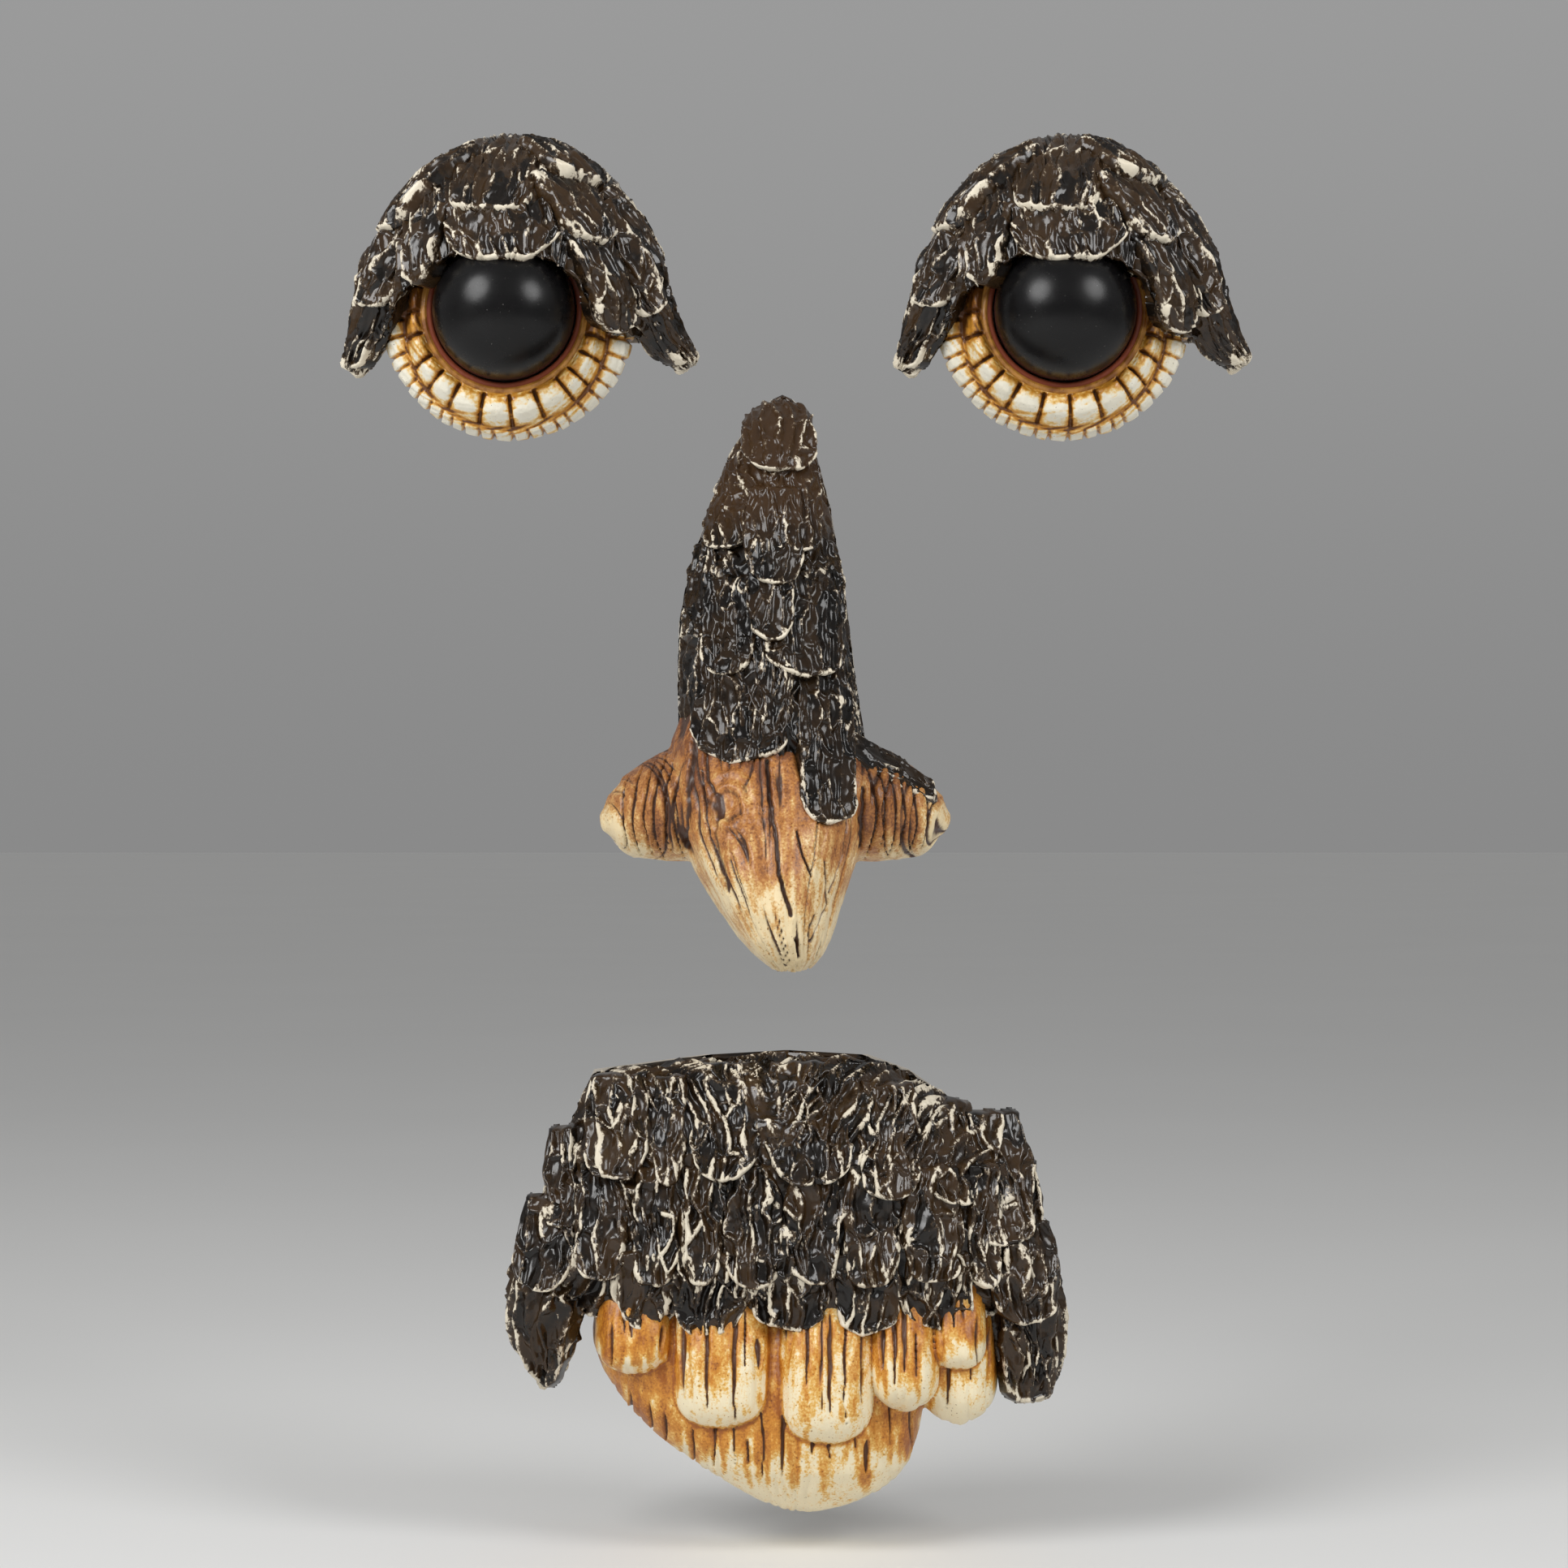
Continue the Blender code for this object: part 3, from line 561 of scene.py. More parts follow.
def arc_grid(stations, squareness, step=STEP, window=None):
    """A casting's front from edge to edge at each height, then its straight back, with rounded ends."""
    rows = sorted(stations)
    low, high = rows[0][0], rows[-1][0]
    ends = 7
    count = int((high - low) / step)
    heights = np.concatenate(([low] * ends, np.linspace(low, high, count), [high] * ends))
    left, right, forward = table(stations, heights)
    shrink = np.ones(len(heights))
    ramp = np.sin(np.linspace(0.03, np.pi / 2, ends))
    shrink[:ends], shrink[-ends:] = ramp, ramp[::-1]
    middle, half = (left + right) / 2, (right - left) / 2 * shrink
    bulge = np.concatenate((-(1 - ramp), np.zeros(count), (1 - ramp)[::-1])) * 1.5
    widest = max(r[2] - r[1] for r in rows)
    front = int(1.35 * (widest / 2 + max(r[3] for r in rows)) / step)
    turn = np.pi * (np.linspace(0, 1, front) - 0.5)
    sine, cosine = np.sin(turn), np.maximum(np.cos(turn), 0)
    across = np.sign(sine) * np.abs(sine) ** (2 / squareness)
    out = cosine ** (2 / squareness)
    back = np.linspace(1, -1, 24)[1:-1]
    columns = np.concatenate((across, back))
    depth = np.concatenate((out, np.zeros(len(back))))
    x = middle[:, None] + half[:, None] * columns[None, :]
    y = -(forward * shrink)[:, None] * depth[None, :]
    z = (heights + bulge)[:, None] + 0 * x
    points = np.stack((x, y, z), -1)
    keep = np.ones((points.shape[0] - 1, points.shape[1]), bool)
    if window is not None:
        on_back = np.concatenate((np.zeros(front, bool), np.ones(len(back), bool)))
        inside = (np.abs(x) < window[0]) & (z > window[1]) & (z < window[2]) & on_back[None, :]
        keep = clear_of(inside)
    return points, keep, front


def station_bark(skin, stations, squareness, seed, window, grain):
    points, keep, front = arc_grid(stations, squareness, window=window)
    x = points[..., 0] + 0.7 * np.sign(points[..., 0]) * (-points[..., 1])
    crest, height, tone = bark_relief(x, points[..., 2], seed, grain)
    normals = grid_normals(points, wrap=True)
    facing = np.sign(np.sum(normals[:, front // 2] * np.array((0, -1, 0)), axis=-1).mean())
    amount = np.where(np.arange(points.shape[1]) < front, 1.0, 0.0)[None, :]
    moved = points + normals * facing * ((height - 1.5) * amount)[..., None]
    skin.sheet(moved, {"crest": crest * amount, "stain": tone}, wrap=True, keep=keep)


def cored_plate(skin, root, tip, stations, behind, width, lift, seed, grain, taper=0.0):
    ceiling = max(station[0] for station in stations) * CORE_TOP_SHARE
    cores = []
    for across, _, up in (root, tip):
        middle = CORE_ACROSS_SHARE * across if behind else sum(station_at(stations, up)[:2]) / 2
        cores.append((middle, behind, min(up, ceiling)))
    bark_plate(skin, root, tip, *cores, width, lift, seed, grain, taper)


def row_plates(skin, rows, stations, squareness, behind, seed, grain):
    for root_up, edge_up, left, widths, lift in rows:
        for number, width in enumerate(widths):
            across = left + width / 2
            left += width
            drop = ROW_STAGGER * (number % 2)
            root = (across, -forward_at(stations, across, root_up, squareness), root_up)
            tip = (across, -forward_at(stations, across, edge_up - drop, squareness), edge_up - drop)
            seed += 31
            cored_plate(skin, root, tip, stations, behind, width, lift, seed, grain)


# The eye

def hood_forward(across, up):
    left = 1 - ((across - HOOD_CENTRE[0]) / HOOD_RADII[0]) ** 2 - ((up - HOOD_CENTRE[1]) / HOOD_RADII[2]) ** 2
    return HOOD_RADII[1] * math.sqrt(max(left, 0.02))


def hood_base(skin, seed):
    """The egg above the arch, from the underside of the visor over the top to the back."""
    turn = np.linspace(-0.93, 0.93, int(150 / STEP)) * np.pi / 2
    across = HOOD_CENTRE[0] + HOOD_RADII[0] * np.sin(turn)
    arch = np.interp(across, [p[0] for p in HOOD_ARCH], [p[1] for p in HOOD_ARCH])
    size = np.sqrt(1 - ((across - HOOD_CENTRE[0]) / HOOD_RADII[0]) ** 2)
    start = np.arcsin(np.clip((arch - HOOD_CENTRE[1]) / (HOOD_RADII[2] * size), -0.98, 0.98))
    rows = int(95 / STEP)
    share = np.linspace(0, 1, rows)[:, None]
    angle = start[None, :] + (np.pi / 2 - start[None, :]) * share
    x = across[None, :] + 0 * angle
    y = -HOOD_RADII[1] * size[None, :] * np.cos(angle)
    z = HOOD_CENTRE[1] + HOOD_RADII[2] * size[None, :] * np.sin(angle)
    shell = np.stack((x, y, z), -1)
    under = np.linspace(0, 1, 40)[:, None]
    sunk = np.stack((x[:1] + 0 * under, y[:1] * under, z[:1] + 0.6 * np.sin(np.pi * under)), -1)
    points = np.concatenate((sunk[:-1], shell))
    fx = points[..., 0] * 1.15
    fy = points[..., 2] - 0.8 * points[..., 1]
    bark_grid(skin, points, fx, fy, seed, outward_sign(points), EYE_GRAIN)


def outward_sign(points):
    rows, cols = points.shape[:2]
    middle = grid_normals(points)[rows * 2 // 3, cols // 2]
    return 1.0 if middle[1] < 0 else -1.0


def hood(place, name, material):
    skin = Skin()
    hood_base(skin, 11)
    core = (HOOD_CENTRE[0], -HOOD_CORE_FORWARD, HOOD_CENTRE[1])
    for number, (x0, z0, x1, z1, width, lift) in enumerate(HOOD_PLATES):
        root, tip = (x0, -hood_forward(x0, z0), z0), (x1, -hood_forward(x1, z1), z1)
        bark_plate(skin, root, tip, core, core, width, lift, 100 + 37 * number, EYE_GRAIN)
    for number, stations in enumerate(HOOD_DROOPS):
        droop(skin, stations, 500 + number, EYE_GRAIN)
    for number, (root, tip, width, lift) in enumerate(ARM_PLATES):
        cores = [(0.72 * across, 0.0, up + 2.0) for across, _, up in (root, tip)]
        bark_plate(skin, root, tip, *cores, width, lift, 600 + 29 * number, EYE_GRAIN)
    return skin.make(name, EYE_UNIT, place, material)


def tooth_row(angle, count, seed):
    """Where an angle lies in its tooth, from -1 to 1 across, for teeth of uneven width."""
    widths = 1 + 0.28 * (2 * lattice(np.arange(count), np.zeros(count, np.int64), seed) - 1)
    edges = np.concatenate(([0], np.cumsum(widths)))
    edges *= 2 * np.pi / edges[-1]
    place = np.searchsorted(edges, angle, side="right") - 1
    place = np.clip(place, 0, count - 1)
    return 2 * (angle - edges[place]) / (edges[place + 1] - edges[place]) - 1, place


def lid(place, name, material):
    """The scalloped rim, the row of teeth and the lip round the ball."""
    angle = np.linspace(0, 2 * np.pi, LID_STEPS, endpoint=False)
    below = np.maximum(0.0, -np.sin(angle))
    groove = TOOTH_ROW_SIDE + (TOOTH_ROW_BELOW - TOOTH_ROW_SIDE) * below
    inner, tooth = tooth_row(angle, TOOTH_COUNT, 5)
    outer, _ = tooth_row(angle, RIM_BEAD_COUNT, 9)
    tooth_top = 0.5 * (2 * lattice(tooth, tooth * 0 + 3, 8) - 1)
    middle = (groove + LID_LIP) / 2 + 1.0
    lip = LID_LIP
    keys = (
        (RIM_RADIUS - 8.0, 0.05, 1.0),
        (RIM_RADIUS - 1.6, 0.05, 1.0),
        (RIM_RADIUS - 0.6, 4.0, 1.0),
        (RIM_RADIUS + 0.1, 9.0, 1.0),
        (RIM_RADIUS - 1.0, 12.8, 1.0),
        ((RIM_RADIUS + groove) / 2 + 0.2, 15.4, 0.75),
        (groove + 0.9, 16.6, 0.5),
        (groove + 0.1, 16.0, 0.5),
        (groove - 0.6, 18.3, 0.45),
        (groove - 2.2, 20.6, 0.4),
        (middle, 23.6, 0.3),
        (lip + 2.2, 24.9, 0.1),
        (lip + 0.9, 24.2, 0.0),
        (lip + 0.4, 23.3, 0.0),
        (lip - 0.5, 24.4, 0.0),
        (lip - 1.0, 24.0, 0.0),
        (lip - 1.3, 23.3, 0.0),
        (lip - 2.2, 23.7, 0.0),
        (lip - LIP_WIDTH + 0.25, 23.0, 0.0),
        (lip - LIP_WIDTH + 0.1, 12.0, 0.0),
    )
    radii = np.stack([key[0] + 0 * angle for key in keys])
    forward = np.array([key[1] for key in keys])[:, None] + 0 * radii
    centre = np.array([key[2] for key in keys])
    run = run_along(np.stack((radii.mean(1), forward[:, 0]), -1))
    fine = np.linspace(0, run[-1], int(run[-1] / LID_STEP))
    r, d = (
        np.stack([rounded(np.interp(fine, run, column), 7) for column in rows.T], -1)
        for rows in (radii, forward)
    )
    share = np.interp(fine, run, centre)[:, None]
    in_teeth = smooth(groove + 0.3, groove - 1.2, r) * smooth(lip + 0.6, lip + 1.8, r)
    in_rim = smooth(groove + 0.2, groove + 1.4, r) * smooth(2.0, 8.0, d)
    pillow = smooth(1.0, 0.76, np.abs(inner))[None, :]
    bead = smooth(1.0, 0.6, np.abs(outer))[None, :]
    arc = r * angle[None, :]
    lumps = 0.22 * noise(arc / 3, r / 3, 71) + 0.1 * noise(arc / 1.1, r / 1.1, 72)
    down = np.clip((r - lip - 1.0) / (groove[None, :] - lip - 1.0), 0, 1)
    ends = 1 - np.abs(2 * down - 1) ** 3
    crown = (1.7 * (1 - np.abs(inner[None, :]) ** 2.4) * ends - 0.5 + tooth_top[None, :]) * in_teeth
    d = d - 2.2 * (1 - pillow) * in_teeth + crown + lumps * (in_teeth + in_rim)
    side = smooth(0.75, 0.2, below)[None, :]
    rim_notch = (1 - bead) * in_rim
    d = d - (1.1 + 0.5 * side) * rim_notch
    r = r - 1.5 * (1 - bead) * smooth(RIM_RADIUS - 2.5, RIM_RADIUS - 0.5, r)
    r = r + 0.35 * noise(arc / 6, 0 * r, 73) * in_rim
    x = RIM_CENTRE[0] * share + r * np.cos(angle)[None, :]
    z = RIM_CENTRE[1] * share + r * np.sin(angle)[None, :]
    points = np.stack((x, -d, z), -1)
    near_lip = smooth(lip + 7.0, lip + 1.2, r) * (0.75 + 0.5 * noise(arc / 2.2, r / 5, 74))
    edge = np.abs(inner)[None, :]
    uneven = 0.85 + 0.45 * noise(arc / 3.5, r / 4, 76)
    tooth_gap = (0.55 * smooth(0.45, 0.95, edge) + 0.85 * smooth(0.82, 0.95, edge)) * in_teeth * uneven
    away = np.abs(r - groove - 0.1)
    ring_gap = 0.65 * (smooth(4.2, 0.4, away) + smooth(1.0, 0.35, away))
    ring_gap = ring_gap * smooth(10.0, 14.0, d) * uneven
    # painted shade: the rim's outer wall is painted darker as it turns back toward the plane of the back
    rim_back_shade = smooth(13.0, 6.0, d) * 0.5
    blotch = 0.5 + 0.5 * noise(arc / 7, r / 9, 75)
    top = smooth(-0.6, 0.1, np.sin(angle))[None, :]
    # the stain sum also takes in the painted shade on the rim's back edge
    stain = tooth_gap + ring_gap + near_lip + rim_notch * 0.8 + rim_back_shade
    stain = stain + top * (0.45 + 0.25 * blotch) + 0.45 * smooth(0.5, 0.9, blotch)
    zone = smooth(lip + 1.0, lip + 0.5, r) + smooth(lip - 1.1, lip - 1.4, r)
    window = keyhole_window("eye", EYE_UNIT)
    inside = (np.abs(x) < window[0]) & (z > window[1]) & (z < window[2]) & (d < 9.0)
    skin = Skin()
    values = {"crest": 0.5 * zone, "stain": np.clip(stain, 0, 1.6)}
    skin.sheet(points, values, wrap=True, keep=clear_of(inside))
    return skin.make(name, EYE_UNIT, place, material)


def eyeball(place, name, material):
    bm = bmesh.new()
    bmesh.ops.create_uvsphere(bm, u_segments=96, v_segments=64, radius=BALL_RADIUS)
    bmesh.ops.rotate(bm, verts=bm.verts, matrix=Matrix.Rotation(math.pi / 2, 3, "X"))
    bmesh.ops.translate(bm, verts=bm.verts, vec=(0.0, -BALL_FORWARD, 0.0))
    for vert in bm.verts:
        vert.co.y = min(vert.co.y, -BALL_FLAT_FORWARD)
    bmesh.ops.remove_doubles(bm, verts=bm.verts, dist=0.00002)
    bmesh.ops.translate(bm, verts=bm.verts, vec=(place[0], 0.0, place[1]))
    mesh = bpy.data.meshes.new(name)
    bm.to_mesh(mesh)
    bm.free()
    mesh.shade_smooth()
    mesh.materials.append(material)
    return linked(name, mesh)


# Wood and ivory

def remeshed(skin, voxel, rounds):
    """Fuses the skin's closed grids into one surface, and returns its points, normals and quads in mm."""
    points = np.concatenate(skin.points)
    mesh = bpy.data.meshes.new("fuse")
    mesh.from_pydata(points.tolist(), [], np.concatenate(skin.faces).tolist())
    piece = linked("fuse", mesh)
    modifier = piece.modifiers.new("fuse", "REMESH")
    modifier.mode = "VOXEL"
    modifier.voxel_size = voxel
    relax = piece.modifiers.new("relax", "SMOOTH")
    relax.factor = 0.5
    relax.iterations = rounds
    graph = bpy.context.evaluated_depsgraph_get()
    done = bpy.data.meshes.new_from_object(piece.evaluated_get(graph))
    bpy.data.objects.remove(piece)
    count = len(done.vertices)
    places = np.empty(count * 3)
    done.vertices.foreach_get("co", places)
    normals = np.empty(count * 3)
    done.vertex_normals.foreach_get("vector", normals)
    quads = np.array([list(face.vertices) for face in done.polygons if len(face.vertices) == 4])
    bpy.data.meshes.remove(done)
    return places.reshape(-1, 3), normals.reshape(-1, 3), quads


def carved_piece(name, points, unit, place, quads, values, material):
    points[:, 1] = np.minimum(points[:, 1], -BACK_GAP / MM)
    placed = points * unit + np.array((place[0], 0.0, place[1]))
    return mesh_piece(name, placed, quads, np.stack(values, -1), material)


def crack(x, z, path, width):
    """How close a point of the front view lies to a crack along a path: 1 in its middle, 0 away from it."""
    best = np.full(np.shape(x), 1e9)
    for (x0, z0), (x1, z1) in zip(path, path[1:]):
        length = (x1 - x0) ** 2 + (z1 - z0) ** 2
        t = np.clip(((x - x0) * (x1 - x0) + (z - z0) * (z1 - z0)) / length, 0, 1)
        best = np.minimum(best, np.hypot(x - x0 - t * (x1 - x0), z - z0 - t * (z1 - z0)))
    return smooth(width, width * 0.3, best)


NOSE_CRACKS = (
    (((-2.5, -27), (-1.5, -40), (0.5, -52), (1.5, -64), (5.5, -77)), 1.1),
    (((16.5, -60), (17.2, -74), (12, -86)), 0.6),
    (((6.5, -84.5), (7.6, -88), (8, -91)), 0.55),
    (((-27, -20), (-28.5, -38), (-30, -56)), 1.1),
    (((29.5, -36), (28.5, -56)), 1),
    (((-24, -30), (-21, -52), (-15, -70)), 0.6),
    (((7.2, -50), (9, -57), (12, -64)), 0.7),
    (((24, -45), (22.5, -58), (18, -70)), 0.6),
    (((13.5, -77), (11, -83.5)), 0.55),
)
# Carved lines round each wing: across, top, bottom, half width.
WING_LINES = (
    (33.5, -22, -64, 0.8), (37, -24, -58, 0.6), (40.5, -24, -62, 0.85),
    (44, -26, -60, 0.7), (47.5, -28, -60, 0.85), (51.5, -32, -58, 0.7),
)
KNOT = (-14.5, -42.0)


def nose_wood(material):
    skin = Skin()
    skin.closed(arc_grid(NOSE_WOOD, BLUNT, step=WOOD_STEP)[0])
    for side in (-1, 1):
        droop(skin, NOSE_WING, 0, side=side)
    places, normals, quads = remeshed(skin, 0.64, 8)
    x, y, z = places.T
    left, right, _ = table(NOSE_WOOD, np.clip(z, -96, -9))
    middle, half = (left + right) / 2, (right - left) / 2
    across = (x - middle) / half
    beyond = np.sign(across) * (30 + (np.abs(x - middle) - half) * 1.1)
    flow = np.where(np.abs(across) < 1, across * 30, beyond)
    flow = flow + 0.35 * np.sign(x) * np.minimum(-y - 30, 0) * smooth(26, 36, np.abs(x))
    knot = np.hypot(x - KNOT[0], (z - KNOT[1]) / 1.3) + 0.9 * noise(x / 4, z / 4, 66)
    flow = flow + 5.0 * np.exp(-(knot / 8.0) ** 2) * np.sign(x - KNOT[0])
    groove, height = groove_relief(flow, z, 40, spacing=3.6, length=80.0)
    rings = np.exp(-((knot - 5.2) / 1.3) ** 2) + 0.6 * np.exp(-((knot - 8.5) / 1.2) ** 2)
    height = height * (1 - 0.8 * np.exp(-(knot / 6.5) ** 2)) + 1.2 * rings - 1.4 * np.exp(-(knot / 2.2) ** 2)
    splits = np.zeros(len(x))
    for path, width in NOSE_CRACKS:
        wobble = 0.5 * noise(z / 4, z * 0, 60)
        splits = np.maximum(splits, crack(x + wobble, z, path, width))
    wings = scored(np.abs(x) + 0.012 * (z + 44) ** 2, z, WING_LINES)
    splits = np.maximum(splits, wings * smooth(28, 32, np.abs(x)))
    height = height - 1.5 * splits
    facing = smooth(-0.5, -3.0, y)
    moved = places + normals * (height * facing)[:, None]
    wing_end = smooth(40.0, 57.0, np.abs(x) + 0.5 * (-44 - z)) * smooth(-30, -52, z)
    pale = np.maximum(smooth(-40.0, -88.0, z - 3.5 * np.abs(across) + 5 * noise(x / 9, z / 14, 63)), wing_end)
    blotch = 0.5 + 0.5 * noise(x / 7, z / 11, 61) + 0.45 * noise(flow / 1.9, z / 22, 62)
    stain = 1.0 - 0.9 * pale + 0.75 * (blotch - 0.5) + 0.25 * smooth(-34, -20, z)
    groove = groove + splits + 0.5 * np.exp(-(knot - 3.4) ** 2)
    values = np.clip(groove, 0, 1), 0 * x, np.clip(stain, 0, 1.3)
    return carved_piece("nose_wood", moved, NOSE_UNIT, NOSE, quads, values, material)


def lobe_profile(share, half_width, forward):
    """Half width and forward reach at a share of the way down a lobe, which ends in a rounded tip."""
    rounding = np.clip((share - 0.72) / 0.28, 0, 1)
    width = half_width * (0.96 + 0.04 * smooth(0, 0.4, share)) * np.sqrt(np.maximum(1 - rounding ** 2.6, 0))
    depth = forward * (LOBE_FOOT + (1 - LOBE_FOOT) * smooth(-0.25, 0.8, share)) * (1 - 0.3 * rounding ** 3)
    return width, depth


def lobe_grid(middle, bottom, half_width, forward):
    shares = np.linspace(0, 0.995, 90)
    widths, depths = lobe_profile(shares, half_width, forward)
    heights = LOBE_TOP - shares * (LOBE_TOP - bottom)
    stations = [(z, middle - w, middle + w, d) for z, w, d in zip(heights, widths, depths)]
    return arc_grid(stations, SQUARE, step=LOBE_STEP)[0]


def lobe_height(x, z, middle, bottom, half_width, forward):
    """How far forward a lobe stands at each point of the front view."""
    share = (LOBE_TOP - z) / (LOBE_TOP - bottom)
    width, depth = lobe_profile(np.clip(share, 0, 1), half_width, forward)
    offset = np.clip(np.abs(x - middle) / np.maximum(width, 0.1), 0, 1)
    return np.where((share >= 0) & (share <= 1), depth * (1 - offset ** SQUARE) ** (1 / SQUARE), 0.0)


def lip_lines():
    """Carved lines for the lower lip, then for each lobe: across, top, bottom and half width."""
    count = 15
    below = []
    for i in range(count):
        across = -52 + 100 * (i + 0.5) / count + 4.5 * (chance(i, 31) - 0.5)
        top = -36 - 26 * chance(i, 33)
        bottom = min(-58 - 20 * chance(i, 32) * (1 - (across / 60) ** 2), top - 10)
        below.append((across, top, bottom, 0.55 + 0.75 * chance(i, 34)))
    found = [below]
    for number, (middle, bottom, half_width, _) in enumerate(LOBES):
        lines = []
        count = 1 + int(half_width / 3.2)
        for i in range(count):
            across = middle + half_width * (1.6 * (i + 0.5) / count - 0.8)
            across += 3.4 * (chance(i, 41 + number) - 0.5)
            low = bottom + (LOBE_TOP - bottom) * (0.05 + 0.55 * chance(i, 51 + number))
            high = -4 - 18 * chance(i, 61 + number)
            lines.append((across, max(high, low + 9), low, 0.55 + 0.85 * chance(i, 71 + number)))
        found.append(lines)
    return found


def lower_lip(material):
    skin = Skin()
    skin.closed(arc_grid(LOWER_LIP, BOXY, step=WOOD_STEP)[0])
    for row in LOBES:
        skin.closed(lobe_grid(*row))
    places, normals, quads = remeshed(skin, 0.66, 3)
    x, y, z = places.T
    left, right, forward = table(LOWER_LIP, np.clip(z, -83.5, -8))
    offset = np.clip(np.abs(x - (left + right) / 2) / ((right - left) / 2), 0, 1)
    base = forward * (1 - offset ** BOXY) ** (1 / BOXY)
    fields = np.stack([base] + [lobe_height(x, z, *row) for row in LOBES])
    order = np.sort(fields, axis=0)
    crease = smooth(2.2, 0.3, order[-1] - order[-2]) * smooth(4.0, 9.0, order[-2])
    owner = np.argmax(fields, axis=0)
    bottoms = np.array([-83.5] + [row[1] for row in LOBES])[owner]
    tops = np.array([-34.0] + [LOBE_TOP - 14.0] * len(LOBES))[owner]
    down = np.clip((tops - z) / (tops - bottoms), 0, 1)
    seed_shift = owner * 37.0
    groove = np.zeros(len(x))
    for number, lines in enumerate(lip_lines()):
        groove = np.where(owner == number, scored(x, z, lines), groove)
    _, height = groove_relief(x + seed_shift, z, 140, spacing=6.5, length=60.0)
    facing = smooth(-0.5, -3.0, y)
    height = 0.45 * height - 1.5 * groove
    moved = places + normals * (height * facing - 0.4 * crease)[:, None]
    streak = noise(x / 2.2 + seed_shift, z / 20, 161) + 0.6 * noise(x / 6 + seed_shift, z / 26, 162)
    edge = 0.60 + 0.25 * noise(x / 7 + seed_shift, z * 0, 163) + np.where(x < -34, 0.2, 0.0)
    drips = smooth(edge + 0.16, edge - 0.25, down - 0.22 * streak - 0.12 * groove)
    wash = np.where(np.isin(owner, (2, 3)), 0.62, 0.9) + 0.34 * noise(x / 3.2 + seed_shift, z / 13, 166)
    stain = wash * drips + 0.6 * crease + 0.3 * groove
    stain = stain + 0.25 * noise(x / 6, z / 8, 164) + 0.2 * noise(x / 1.5, z / 3.5, 165)
    groove = np.clip(groove + 0.35 * crease, 0, 1)
    values = groove, 1 - down, np.clip(stain, 0, 1.4)
    return carved_piece("lower_lip", moved, MOUTH_UNIT, MOUTH, quads, values, material)


# The bark of the nose and mouth

def keyhole_window(kind, unit):
    up = KEYHOLE_UP[kind]
    return tuple(v / unit for v in (KEYHOLE_WINDOW[0], up - KEYHOLE_WINDOW[1], up + KEYHOLE_WINDOW[2]))


def nose_bark(material):
    skin = Skin()
    station_bark(skin, NOSE_BRIDGE, ROUND, 210, keyhole_window("nose", NOSE_UNIT), NOSE_GRAIN)
    row_plates(skin, NOSE_ROWS, NOSE_BRIDGE, ROUND, 0.0, 1000, NOSE_GRAIN)
    x0, z0, x1, z1, width, lift = NOSE_TONGUE
    root = (x0, -forward_at(NOSE_BRIDGE, x0, z0, ROUND), z0)
    tip = (x1, -forward_at(NOSE_WOOD, x1, z1, BLUNT), z1)
    cored_plate(skin, root, tip, NOSE_BRIDGE, 0.0, width, lift, 1800, NOSE_GRAIN)
    root, tip, width, lift = NOSE_WING_BARK
    cores = [(across, 0.0, up + forward) for across, forward, up in (root, tip)]
    bark_plate(skin, root, tip, *cores, width, lift, 1900, NOSE_GRAIN)
    return skin.make("nose_bark", NOSE_UNIT, NOSE, material)


def mouth_bark(material):
    skin = Skin()
    station_bark(skin, LIP_BARK, BOXY, 310, keyhole_window("mouth", MOUTH_UNIT), MOUTH_GRAIN)
    row_plates(skin, MOUTH_ROWS, LIP_BARK, BOXY, MOUTH_CORE_BEHIND, 2000, MOUTH_GRAIN)
    for number, (root, tip, width, lift) in enumerate(MOUTH_SIDE_PLATES):
        taper = 0.45 if number == len(MOUTH_SIDE_PLATES) - 1 else 0.0
        shape = width, lift, 3000 + 41 * number, MOUTH_GRAIN, taper
        cored_plate(skin, root, tip, LIP_BARK, MOUTH_CORE_BEHIND, *shape)
    for number, stations in enumerate(MOUTH_DROOPS):
        droop(skin, stations, 3500 + 43 * number, MOUTH_GRAIN)
    return skin.make("mouth_bark", MOUTH_UNIT, MOUTH, material)


def backing(node, name, material):
    """The flat back and the keyhole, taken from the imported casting."""
    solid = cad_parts[node]
    bm = bmesh.new()
    bm.from_mesh(solid.data)
    bm.transform(solid.matrix_world)
    kind = node.split("_")[-1]
    middle_x, base_z = {"left_eye": LEFT_EYE, "right_eye": RIGHT_EYE, "nose": NOSE, "mouth": MOUTH}[node]
    up = base_z + KEYHOLE_UP[kind]
    away = []
    for face in bm.faces:
        x, y, z = zip(*(vert.co for vert in face.verts))
        flat = min(y) > -FLAT_WITHIN
        beside = max(abs(value - middle_x) for value in x) < POCKET_HALF
        pocket = beside and min(z) > up - POCKET_HALF and max(z) < up + POCKET_TOP and min(y) > -POCKET_DEEP
        if not (flat or pocket):
            away.append(face)
    bmesh.ops.delete(bm, geom=away, context="FACES")
    mesh = bpy.data.meshes.new(name)
    bm.to_mesh(mesh)
    bm.free()
    mesh.materials.clear()
    mesh.materials.append(material)
    return linked(name, mesh)


# Materials

